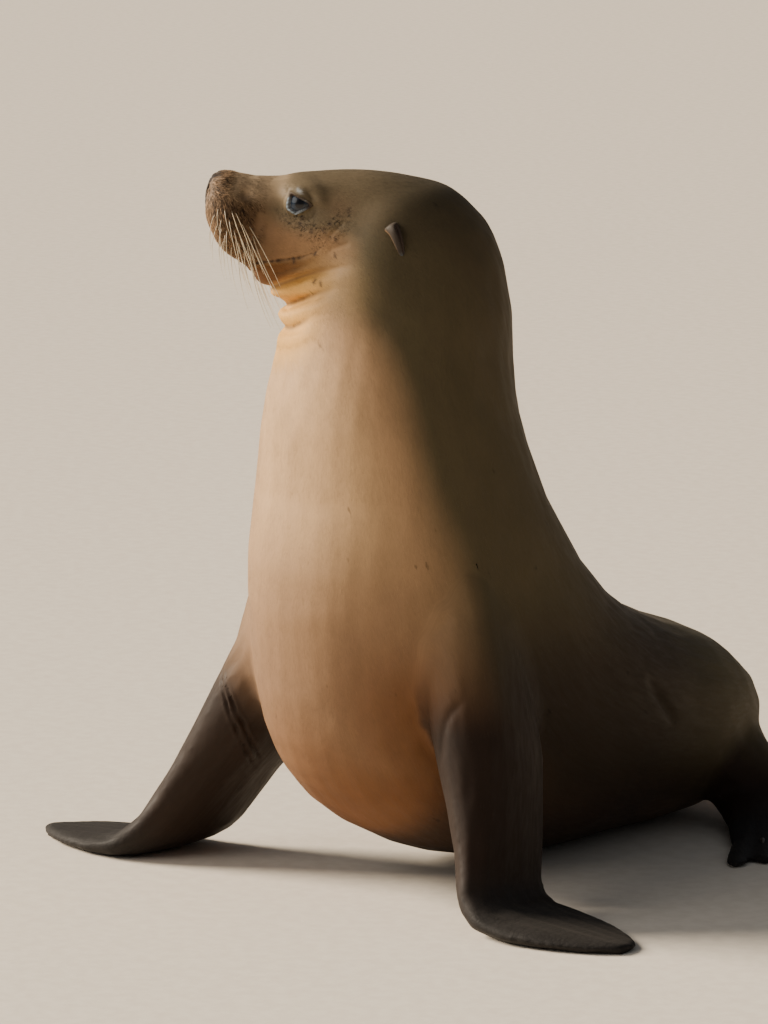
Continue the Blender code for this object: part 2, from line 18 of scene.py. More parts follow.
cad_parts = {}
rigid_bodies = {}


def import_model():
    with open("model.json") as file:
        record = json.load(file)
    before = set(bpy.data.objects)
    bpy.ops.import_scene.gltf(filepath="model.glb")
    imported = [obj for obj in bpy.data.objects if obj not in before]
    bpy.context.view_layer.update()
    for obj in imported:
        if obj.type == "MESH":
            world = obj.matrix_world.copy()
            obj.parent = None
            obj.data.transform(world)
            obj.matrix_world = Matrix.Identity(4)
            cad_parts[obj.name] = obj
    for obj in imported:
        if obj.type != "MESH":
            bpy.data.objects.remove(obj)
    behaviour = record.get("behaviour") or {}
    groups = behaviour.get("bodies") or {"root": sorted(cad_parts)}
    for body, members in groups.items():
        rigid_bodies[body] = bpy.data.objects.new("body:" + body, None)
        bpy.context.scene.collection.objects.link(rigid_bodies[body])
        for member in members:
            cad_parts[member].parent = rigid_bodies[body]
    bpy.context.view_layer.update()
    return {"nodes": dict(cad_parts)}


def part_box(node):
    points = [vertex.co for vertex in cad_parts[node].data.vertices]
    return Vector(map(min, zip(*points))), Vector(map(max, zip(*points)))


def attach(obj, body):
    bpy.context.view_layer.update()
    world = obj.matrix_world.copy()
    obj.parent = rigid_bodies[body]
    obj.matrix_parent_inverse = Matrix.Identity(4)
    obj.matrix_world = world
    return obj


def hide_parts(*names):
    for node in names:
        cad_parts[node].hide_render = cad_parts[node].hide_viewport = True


for obj in list(bpy.data.objects):
    bpy.data.objects.remove(obj, do_unlink=True)
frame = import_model()

SIDES = {"right": -1, "left": 1}
FLESH = ["head", "lower_jaw", "nose", "neck", "trunk", "tail"]
FLESH += [f"{limb}_flipper_{side}" for limb in ("fore", "hind") for side in SIDES]

# Skin
OVERLAP = 0.0004  # each solid is grown by this, to close the cuts
VOXEL = 0.0035
COAT_DEPTH, FACE_COAT_DEPTH = 0.0015, 0.0006
HEAD_REGION, FACE_REGION = 0.150, 0.092  # radii of the finer skin
ARMPIT, ARMPIT_REGION = (0.150, -0.072, 0.168), 0.070
SKIN_LOWEST, COAT_LOWEST = 0.0003, 0.0002  # how near to the floor they come

# Head
HEAD_TURN, HEAD_LIFT = math.radians(-48), math.radians(10)
EYE_FORWARDS, EYE_UP = 0.0885, 0.0195
EYE_RADIUS = 0.0175
MOUTH = [
    (0.1500, -0.0590), (0.1295, -0.0495), (0.1150, -0.0440), (0.0960, -0.0375),
    (0.0780, -0.0300), (0.0660, -0.0220), (0.0580, -0.0110), (0.0540, -0.0020),
]
THROAT_FOLD = [
    (0.1200, -0.0800), (0.1055, -0.0738), (0.0935, -0.0640), (0.0779, -0.0530),
    (0.0596, -0.0410), (0.0408, -0.0315), (0.0236, -0.0270),
]
SECOND_FOLD = [
    (0.1060, -0.0950), (0.0880, -0.0885), (0.0739, -0.0765), (0.0558, -0.0615),
    (0.0375, -0.0495),
]
THIRD_FOLD = [(0.0900, -0.1130), (0.0770, -0.1055), (0.0680, -0.0960), (0.0590, -0.0850)]
JAW_FOLD = [(0.1000, -0.0520), (0.0800, -0.0420), (0.0640, -0.0320)]
# The nose from ahead, as (aside, up)
NOSTRIL = [(0.0045, 0.0040), (0.0085, 0.0095), (0.0135, 0.0190)]
LIP_GROOVE = [(0.0, 0.0150), (0.0, -0.0400)]
NOSE_BORDER = [(0.0, 0.0270), (0.0120, 0.0240), (0.0165, 0.0150), (0.0100, 0.0000)]

# Body: the middle line from the nose to the tail, as (y, z) from BASE
SPINE = [
    (0.002, 0.585), (0.003, 0.520), (0.004, 0.455), (0.020, 0.385), (0.048, 0.318),
    (0.090, 0.250), (0.150, 0.190), (0.235, 0.140), (0.330, 0.115), (0.430, 0.095),
    (0.520, 0.082), (0.600, 0.030),
]
ARM = [  # middle line of the right or left fore flipper, from the shoulder to the tip
    (0.070, 0.010, 0.290), (0.118, -0.005, 0.218), (0.154, -0.018, 0.153),
    (0.188, -0.032, 0.098), (0.213, -0.046, 0.056), (0.232, -0.058, 0.030),
    (0.253, -0.064, 0.015), (0.287, -0.067, 0.009), (0.327, -0.068, 0.007),
    (0.365, -0.069, 0.005), (0.411, -0.071, 0.004),
]
# How far each arm is set outwards at the armpit and the wrist
STANCE = {"right": (0.0, 0.0), "left": (0.020, -0.030)}
HEEL, FOOT_TURN = (0.132, 0.444), math.radians(50)
TOES, TOE_SPREAD, TOE_REACH = 5, math.radians(9), 0.205

rng = np.random.default_rng(11)


def corners(node):
    return [np.array(corner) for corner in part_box(node)]


def centre_of(node):
    low, high = corners(node)
    return (low + high) / 2


BASE = np.array(
    [
        (corners("hind_flipper_left")[1][0] + corners("hind_flipper_right")[0][0]) / 2,
        corners("tail")[1][1] - 0.602,
        0.0,
    ]
)


# ---------------------------------------------------------------- head frame and small helpers


def head_axes():
    """Rows: forwards, aside to the left, up."""
    turn = Matrix.Rotation(HEAD_TURN, 3, "Z") @ Matrix.Rotation(-HEAD_LIFT, 3, "X")
    return np.array([turn @ Vector((0, -1, 0)), turn @ Vector((1, 0, 0)), turn @ Vector((0, 0, 1))])


HEAD_AXES = head_axes()
HEAD_ORIGIN = (
    (centre_of("eye_left") + centre_of("eye_right")) / 2
    - EYE_FORWARDS * HEAD_AXES[0]
    - EYE_UP * HEAD_AXES[2]
)


def to_head(places):
    return (places - HEAD_ORIGIN) @ HEAD_AXES.T


def on_head(forwards, aside, up):
    return HEAD_ORIGIN + np.array([forwards, aside, up]) @ HEAD_AXES


def step(low, high, value):
    """0 below low, 1 above high, smooth between. It works with low above high too."""
    share = np.clip((value - low) / (high - low), 0, 1)
    return share * share * (3 - 2 * share)


def bell(distance, width):
    return np.exp(-((distance / width) ** 2))


def unit(vectors):
    return vectors / np.maximum(np.linalg.norm(vectors, axis=-1, keepdims=True), 1e-9)


def along_route(places, route):
    """(distance, share along) of each place from a route of points with as many coordinates."""
    route = np.array(route, float)
    starts, steps = route[:-1], np.diff(route, axis=0)
    lengths = np.linalg.norm(steps, axis=1)
    before = np.concatenate([[0], np.cumsum(lengths)])
    best = np.full(len(places), np.inf)
    share = np.zeros(len(places))
    for start, line, length, run in zip(starts, steps, lengths, before):
        on = np.clip((places - start) @ line / length**2, 0, 1)
        distance = np.linalg.norm(places - start - on[:, None] * line, axis=1)
        nearer = distance < best
        best[nearer] = distance[nearer]
        share[nearer] = (run + on[nearer] * length) / before[-1]
    return best, share


def added(name, data):
    """A new object of the scene that holds this data."""
    made = bpy.data.objects.new(name, data)
    bpy.context.scene.collection.objects.link(made)
    return made


def linked(name, places, faces):
    data = bpy.data.meshes.new(name)
    data.from_pydata([tuple(p) for p in places], [], [tuple(f) for f in faces])
    data.update()
    data.shade_smooth()
    return added(name, data)


def tree_of(data):
    faces = [face.vertices[:] for face in data.polygons]
    return BVHTree.FromPolygons([vertex.co for vertex in data.vertices], faces)


# ---------------------------------------------------------------- skin


class Net:
    """A mesh as arrays: places, normals and edges."""

    def __init__(self, obj):
        self.obj, self.data = obj, obj.data
        self.refresh()

    def refresh(self):
        count = len(self.data.vertices)
        self.places = np.empty(count * 3, np.float32)
        self.data.vertices.foreach_get("co", self.places)
        self.places = self.places.reshape(-1, 3).astype(float)
        ends = np.empty(len(self.data.edges) * 2, np.int32)
        self.data.edges.foreach_get("vertices", ends)
        self.ends = ends.reshape(-1, 2)
        self.degree = np.bincount(self.ends.ravel(), minlength=count)[:, None]

    def mean(self, values):
        """The average of each vertex's neighbours."""
        first, second = self.ends.T
        total = np.empty_like(values)
        for column in range(values.shape[1]):
            total[:, column] = np.bincount(first, values[second, column], len(values))
            total[:, column] += np.bincount(second, values[first, column], len(values))
        return total / self.degree

    def normals(self):
        self.store()
        found = np.empty(len(self.places) * 3, np.float32)
        self.data.vertices.foreach_get("normal", found)
        return found.reshape(-1, 3).astype(float)

    def store(self):
        self.data.vertices.foreach_set("co", self.places.astype(np.float32).ravel())
        self.data.update()

    def relax(self, rounds, weight, back=0.0):
        """Smooths by weight, then swells back by that share of it, which keeps the volume."""
        for _ in range(rounds):
            self.places += 0.5 * weight * (self.mean(self.places) - self.places)
            if back:
                self.places -= 0.5 * back * weight * (self.mean(self.places) - self.places)

    def soften(self, values, rounds):
        values = values.reshape(len(values), -1)
        for _ in range(rounds):
            values = 0.5 * (values + self.mean(values))
        return values.squeeze()


def grown_flesh():
    """All the flesh solids and the eyes, a little grown, as one mesh."""
    whole = bmesh.new()
    for name in [*FLESH, "eye_left", "eye_right"]:
        piece = bmesh.new()
        piece.from_mesh(frame["nodes"][name].data)
        bmesh.ops.remove_doubles(piece, verts=piece.verts, dist=1e-5)
        piece.normal_update()
        for vertex in piece.verts:
            vertex.co += vertex.normal * OVERLAP
        grown = bpy.data.meshes.new("grown")
        piece.to_mesh(grown)
        piece.free()
        whole.from_mesh(grown)
        bpy.data.meshes.remove(grown)
    data = bpy.data.meshes.new("skin")
    whole.to_mesh(data)
    whole.free()
    return added("skin", data)


def one_skin():
    flesh = grown_flesh()
    remesh = flesh.modifiers.new("one", "REMESH")
    remesh.mode = "VOXEL"
    remesh.voxel_size = VOXEL
    graph = bpy.context.evaluated_depsgraph_get()
    data = bpy.data.meshes.new_from_object(flesh.evaluated_get(graph))
    flesh.modifiers.clear()
    flesh.data = data
    return Net(flesh)


def refine(net, centre, radius):
    """Splits each face within the radius in four."""
    mesh = bmesh.new()
    mesh.from_mesh(net.data)
    middle = Vector(centre)

    def inside(edge):
        return all((vertex.co - middle).length < radius for vertex in edge.verts)

    chosen = [edge for edge in mesh.edges if inside(edge)]
    bmesh.ops.subdivide_edges(mesh, edges=chosen, cuts=1, use_grid_fill=True)
    mesh.to_mesh(net.data)
    mesh.free()
    net.refresh()


def node_mask(net, node, within=0.004):
    """1 at the vertices that belong to this solid of the frame."""
    tree = tree_of(frame["nodes"][node].data)
    low, high = corners(node)
    near = np.all((net.places > low - within) & (net.places < high + within), axis=1)
    mask = np.zeros(len(net.places))
    for index in np.flatnonzero(near):
        hit = tree.find_nearest(Vector(net.places[index]), within)
        mask[index] = hit[0] is not None
    return mask


def arm_line(side):
    inner, outer = STANCE[side]
    places = np.array(ARM)
    shoulder, armpit, wrist = places[0, 0], places[1, 0], places[5, 0]
    places[:, 0] += np.interp(places[:, 0], (shoulder, armpit, wrist), (0, inner, outer))
    places[:, 0] *= SIDES[side]
    return places + BASE


def foot_line(side):
    x, y = HEEL
    reach = np.array([-0.09, -0.04, 0.0, 0.05, 0.10, 0.15, TOE_REACH])
    height = np.array([0.085, 0.060, 0.028, 0.018, 0.011, 0.007, 0.004])
    aside, ahead = math.sin(FOOT_TURN), math.cos(FOOT_TURN)
    places = np.stack([x + reach * aside, y - reach * ahead, height], axis=1)
    places[:, 0] *= SIDES[side]
    return places + BASE


def sculpt_head(net):
    local = to_head(net.places)
    forwards, aside, up = local.T
    side = np.abs(aside)
    beside = np.stack([forwards, up], axis=1)
    push = np.zeros(len(net.places))
    near = np.linalg.norm(local - (0.08, 0, -0.02), axis=1) < 0.20

    # Mouth: a closed line between full lips, running up behind into the cheek
    mouth, share = along_route(beside, MOUTH)
    front = step(0.158, 0.150, forwards)
    broken = 0.7 + 0.3 * np.sin(60 * share + 2.0 * np.sin(23 * share))
    fading = step(0.92, 0.55, share)
    lips = 0.0004 * bell(mouth - 0.0045, 0.0034) - 0.0022 * broken * bell(mouth, 0.0014)
    push += near * front * fading * lips
    for route, reach in (((0.056, -0.004), (0.046, 0.010)), ((0.052, -0.016), (0.038, -0.008))):
        crease, _ = along_route(beside, [route, reach])
        push -= near * 0.0006 * bell(crease, 0.0024) * (side > 0.02)

    # Throat: rolls between deep folds, and fine folds behind the jaw
    for route, depth, width in (
        (THROAT_FOLD, 0.0034, 0.0032),
        (SECOND_FOLD, 0.0036, 0.0034),
        (THIRD_FOLD, 0.0016, 0.0034),
        (JAW_FOLD, 0.0010, 0.0020),
    ):
        fold, share = along_route(beside, route)
        fade = step(1.0, 0.45, share)
        roll = 0.0003 * bell(fold - 2.2 * width, 1.3 * width)
        push += near * fade * (roll - depth * bell(fold, width))

    # Nose: a pad with a border, two slit nostrils and the groove down to the lip
    tip = step(0.1645, 0.1725, forwards)
    across = np.stack([side, up], axis=1)
    slit, _ = along_route(across, NOSTRIL)
    push += tip * (0.0008 * bell(slit - 0.0028, 0.0018) - 0.0048 * bell(slit, 0.0011))
    groove, _ = along_route(across, LIP_GROOVE)
    push -= step(0.150, 0.165, forwards) * 0.0016 * bell(groove, 0.0014)
    border, _ = along_route(across, NOSE_BORDER)
    push -= tip * 0.0008 * bell(border, 0.0013)

    # Whisker pad: a swelling in front of a hollow
    pad = np.linalg.norm((local * (1, 0, 1)) - (0.160, 0, -0.006), axis=1)
    push += near * (0.0016 * bell(pad, 0.016) - 0.0012 * bell(pad - 0.0300, 0.0060) * (up > -0.03))
    hollow = np.linalg.norm(beside - (0.1455, 0.0190), axis=1)
    push -= near * 0.0026 * bell(hollow, 0.0050) * (side > 0.012)

    # Brow and bags round the eye
    gap = np.linalg.norm(beside - (EYE_FORWARDS, EYE_UP), axis=1)
    angle = np.arctan2(up - EYE_UP, forwards - EYE_FORWARDS)
    below, above = step(0.3, -0.5, np.sin(angle)), step(-0.2, 0.5, np.sin(angle))
    push -= near * below * 0.0006 * bell(gap - 0.0150, 0.0016)
    push += near * above * 0.0030 * bell(gap - 0.0180, 0.0075)
    net.places += push[:, None] * net.normals()


# The rim of the eye's opening, seen square on: (forwards, up) from the middle of the eye
RIM = [(0.0100, 0.0082), (-0.0112, 0.0006), (0.0016, -0.0082), (0.0080, -0.0052)]
GAZE = unit(np.array([0.14, 0.98, 0.08]))  # forwards, aside, up


def rim_radius(angle):
    """The opening's radius at an angle, from straight edges with softened corners."""
    fine = np.linspace(-math.pi, math.pi, 361)
    rays = np.stack([np.cos(fine), np.sin(fine)], axis=1)
    table = np.full(len(fine), np.inf)
    for start, end in zip(np.array(RIM), np.roll(RIM, -1, axis=0)):
        outwards = np.array([end[1] - start[1], start[0] - end[0]])
        facing = rays @ outwards
        reach = start @ outwards / np.maximum(facing, 1e-6)
        table = np.where(facing > 1e-6, np.minimum(table, reach), table)
    kernel = bell(np.arange(-20, 21), 6.0)
    padded = np.concatenate([table[-21:-1], table, table[1:21]])
    return np.interp(angle, fine, np.convolve(padded, kernel / kernel.sum(), "valid"))


def eye_centre(sign):
    return to_head(centre_of("eye_left" if sign > 0 else "eye_right"))


def eye_place(local, sign):
    """How places of the head's frame lie from one eye.

    Returns the share of the way to the rim, the distance, whether in front, and the arm to each.
    """
    arm = local * (1, sign, 1) - eye_centre(sign) * (1, sign, 1)
    level = unit(np.cross(GAZE, (0, 0, 1)))
    level = level * np.sign(level[0])
    upright = np.cross(level, GAZE)
    upright = upright * np.sign(upright[2])
    x, y = arm @ level, arm @ upright
    share = np.hypot(x, y) / rim_radius(np.arctan2(y, x))
    return share, np.linalg.norm(arm, axis=1), arm @ GAZE > 0, arm


def shape_lids(net):
    """Lays the skin over each eyeball as lids, round an opening. Returns how near the rim is."""
    local = to_head(net.places)
    nearness = np.zeros(len(local))
    for sign in SIDES.values():
        share, distance, ahead, arm = eye_place(local, sign)
        close = ahead & (distance < 0.034) & (share < 3.2)
        lid = EYE_RADIUS + 0.0016 + 0.0010 * bell(share - 1.25, 0.16)
        covered = np.maximum(distance, lid)
        tight, shut = step(1.9, 1.15, share), step(0.90, 1.05, share)
        over = tight * lid + (1 - tight) * covered
        radius = shut * over + (1 - shut) * (EYE_RADIUS - 0.0025)
        factor = np.where(close, radius / np.maximum(distance, 1e-6), 1.0)
        moved = arm * factor[:, None] * (1, sign, 1)
        local = np.where(close[:, None], eye_centre(sign) + moved, local)
        nearness = np.maximum(nearness, close * step(1.75, 1.0, share))
    net.places = HEAD_ORIGIN + local @ HEAD_AXES
    return nearness


ARMPIT_FOLDS = {  # (aside, y, z) from BASE, between the arm and the chest
    "right": [
        [
            (0.160, -0.078, 0.218), (0.154, -0.084, 0.199), (0.142, -0.089, 0.178),
            (0.136, -0.082, 0.151), (0.142, -0.061, 0.121), (0.161, -0.026, 0.092),
        ],
        [
            (0.152, -0.080, 0.216), (0.147, -0.084, 0.200), (0.136, -0.088, 0.180),
            (0.129, -0.079, 0.156), (0.135, -0.058, 0.128), (0.152, -0.024, 0.100),
        ],
    ],
    "left": [
        [
            (0.171, -0.068, 0.230), (0.167, -0.078, 0.218), (0.160, -0.083, 0.210),
            (0.155, -0.087, 0.199), (0.153, -0.089, 0.186), (0.152, -0.091, 0.165),
            (0.150, -0.088, 0.145),
        ],
    ],
}
FLANK_CREASE = [(0.153, 0.232, 0.196), (0.149, 0.262, 0.165), (0.144, 0.292, 0.135)]


def sculpt_body(net):
    places = net.places - BASE
    push = np.zeros(len(places))
    for side, sign in SIDES.items():
        own = places * (sign, 1, 1)
        for route in ARMPIT_FOLDS[side]:
            fold, share = along_route(own, route)
            fade = step(0.0, 0.30, share) * step(1.0, 0.70, share)
            if side == "right":
                push += fade * (0.0007 * bell(fold - 0.0040, 0.0020) - 0.0024 * bell(fold, 0.0019))
            else:
                push -= fade * 0.0016 * bell(fold, 0.0050)
        crease, share = along_route(own, FLANK_CREASE)
        fade = np.sin(math.pi * np.clip(share, 0, 1)) ** 0.7
        push -= fade * 0.0040 * bell(crease, 0.0070) * (1.0 if side == "left" else 0.4)

        # Finger bones under the skin of the fore flipper
        arm = (arm_line(side) - BASE) * (sign, 1, 1)
        wrist, tip = arm[5], arm[-1]
        out = np.clip((own[:, 0] - wrist[0]) / (tip[0] - wrist[0]), 0, 1)
        on_hand = step(0.0, 0.25, out) * step(1.0, 0.8, out)
        on_hand = on_hand * (own[:, 2] < 0.06) * (own[:, 0] > wrist[0])
        on_hand = on_hand * (np.abs(own[:, 1] - wrist[1]) < 0.10)
        fan = (own[:, 1] - wrist[1] + 0.010) / (1.0 - 0.45 * out)
        for finger in (-0.062, -0.036, -0.012, 0.012, 0.036):
            push += on_hand * 0.0011 * bell(fan - finger, 0.0075)

        # Furrows between the toes
        heel = own[:, :2] - HEEL
        distance = np.linalg.norm(heel, axis=1)
        spread = np.arctan2(heel[:, 0], -heel[:, 1]) - FOOT_TURN
        on_foot = step(0.03, 0.08, distance) * (distance < 0.23)
        on_foot = on_foot * (own[:, 2] < 0.05) * (np.abs(spread) < 0.6)
        for gap in range(TOES - 1):
            at = (gap - (TOES - 2) / 2) * TOE_SPREAD
            push -= on_foot * 0.0010 * bell((spread - at) * distance, 0.0040)
    net.places += push[:, None] * net.normals()
    net.places[:, 2] = np.maximum(net.places[:, 2], SKIN_LOWEST)


# ---------------------------------------------------------------- fields over the skin


def frames_along(line, lateral, count=60):
    """Places, tangents, lateral and outward axes, and length so far, along a smoothed line."""
    line = np.array(line, float)
    run = np.concatenate([[0], np.cumsum(np.linalg.norm(np.diff(line, axis=0), axis=1))])
    even = np.linspace(0, run[-1], count)
    places = np.stack([np.interp(even, run, line[:, k]) for k in range(3)], axis=1)
    for _ in range(12):
        places[1:-1] = 0.25 * (places[:-2] + 2 * places[1:-1] + places[2:])
    tangents = unit(np.gradient(places, axis=0))
    sides = lateral(places)
    sides = unit(sides - np.sum(sides * tangents, axis=1, keepdims=True) * tangents)
    length = np.concatenate([[0], np.cumsum(np.linalg.norm(np.diff(places, axis=0), axis=1))])
    return places, tangents, sides, np.cross(sides, tangents), length


def straightened(places, frames, reach=0.045):
    """The lie (along, across, outwards) and the way of the hair, from the frames near by."""
    centres, tangents, sides, outwards, length = frames
    lie, flow = np.empty_like(places), np.empty_like(places)
    at_once = 20000  # which keeps the memory small
    for start in range(0, len(places), at_once):
        part = slice(start, start + at_once)
        arms = places[part, None] - centres[None]
        squared = np.sum(arms**2, axis=2)
        weight = np.exp(-(squared - squared.min(axis=1, keepdims=True)) / (2 * reach**2))
        weight /= weight.sum(axis=1, keepdims=True)
        along = length + np.sum(arms * tangents, axis=2)
        lie[part, 0] = np.sum(weight * along, axis=1)
        lie[part, 1] = np.sum(weight * np.sum(arms * sides, axis=2), axis=1)
        lie[part, 2] = np.sum(weight * np.sum(arms * outwards, axis=2), axis=1)
        flow[part] = weight @ tangents
    return lie, unit(flow)


def body_frames():
    """Frames from the nose to the tail, which turn with the head as they rise."""
    levels = (0.43, 0.49, 0.55, 0.607, 0.65)
    turns = np.radians((0, -7, -19, -35, -48))
    middle = ((0.195, 0.0), (0.150, -0.010), (0.100, -0.014), (0.050, -0.016), (0.012, -0.030))
    head = [on_head(forwards, 0, up) for forwards, up in middle]
    spine = [BASE + (0, y, z) for y, z in SPINE]

    def lateral(places):
        turn = np.interp(places[:, 2], levels, turns)
        return np.stack([np.cos(turn), np.sin(turn), np.zeros_like(turn)], axis=1)

    return frames_along(head + spine, lateral)


def unwrap_of(lie, island):
    """The body unrolls round its middle line. Each flipper is two halves in a cell of its own."""
    if island == 0:
        around = 0.02 + 0.58 * (np.arctan2(lie[:, 1], lie[:, 2]) / (2 * math.pi) + 0.5)
        along = 0.01 + 0.98 * np.clip(lie[:, 0] / 1.5, 0, 1)
        return np.stack([around, along], axis=1)
    across = 0.62 + 0.17 * np.clip(lie[:, 1] / 0.24 + 0.5, 0, 1) + 0.19 * (lie[:, 2] > 0)
    along = 0.25 * (island - 1) + 0.01 + 0.23 * np.clip(lie[:, 0] / 0.55, 0, 1)
    return np.stack([across, along], axis=1)


class Fields:
    """What every vertex of the skin knows: masks, lie and way of the hair, and the unwrap."""

    def __init__(self, net, nearness):
        places = net.places
        self.normals = net.normals()
        self.lids = nearness
        self.lie, self.flow = straightened(places, body_frames())
        girth = np.maximum(np.hypot(self.lie[:, 1], self.lie[:, 2]), 1e-6)
        self.ventral = -self.lie[:, 2] / girth
        self.limb = {}
        self.unwrap = unwrap_of(self.lie, 0)
        lines = [(f"fore_flipper_{side}", arm_line(side)) for side in SIDES]
        lines += [(f"hind_flipper_{side}", foot_line(side)) for side in SIDES]
        for island, (node, line) in enumerate(lines, start=1):
            mask = node_mask(net, node)
            frames = frames_along(line, lambda p: np.tile((0.0, 1.0, 0.0), (len(p), 1)), 40)
            lie, flow = straightened(places, frames, 0.02)
            hard = mask > 0.5
            self.unwrap[hard] = unwrap_of(lie, island)[hard]
            soft = net.soften(mask, 6)[:, None]
            self.lie = self.lie * (1 - soft) + lie * soft
            self.flow = unit(self.flow * (1 - soft) + flow * soft)
            self.limb[node] = net.soften(mask, 10), lie[:, 0] / frames[4][-1]
        forwards, aside, up = to_head(places).T
        down = step(0.115, 0.150, forwards) * step(0.010, 0.024, np.abs(aside))
        down = down * step(0.022, 0.008, up)
        self.flow = unit(self.flow - 1.4 * down[:, None] * HEAD_AXES[2])


# Markings, as reflected linear colour. Some of them are painted light or shade, as said where they
# are laid
OLIVE = (0.080, 0.063, 0.033)
SADDLE = (0.062, 0.047, 0.026)
RUMP = (0.110, 0.094, 0.054)
TAN = (0.370, 0.228, 0.122)
SHADED_TAN = (0.210, 0.120, 0.066)
PALE = (0.660, 0.435, 0.225)
RUST_AND_SHADE = (0.150, 0.056, 0.016)
ARM_BROWN = (0.021, 0.012, 0.008)
BARE_BLACK = (0.024, 0.022, 0.021)
MUZZLE_BROWN = (0.152, 0.090, 0.047)
BRIDGE_TAN = (0.330, 0.235, 0.140)
CHEEK_BROWN = (0.260, 0.145, 0.070)
CROWN_BROWN = (0.135, 0.100, 0.056)
SUN_GLOW_GOLD = (0.640, 0.350, 0.090)
KHAKI = (0.330, 0.215, 0.100)
JAW_RUST = (0.090, 0.028, 0.006)
LIP_BLACK = (0.040, 0.024, 0.018)
RIM_SKY_REFLECTION = (0.330, 0.440, 0.530)
BROW_HIGHLIGHT = (0.520, 0.560, 0.580)
NOSE_BLACK = (0.032, 0.024, 0.021)


NICKS = [  # dark marks on the left of the face, as (forwards, up)
    (0.0865, -0.0350), (0.0664, -0.0223), (0.0513, -0.0039), (0.0415, 0.0263),
    (0.0870, 0.0022), (0.0572, -0.0500), (0.0623, -0.0500), (0.0486, -0.0191),
    (0.0862, 0.0091), (0.0752, -0.0011), (0.0646, 0.0022), (0.0578, 0.0095),
]
# Worn fur under and behind the eye, as (forwards, up)
EYE_BAGS = [(0.098, 0.006), (0.084, 0.001), (0.066, -0.004), (0.048, 0.010)]
EYE_CORNER = [(0.066, -0.016), (0.050, 0.004), (0.043, 0.016)]


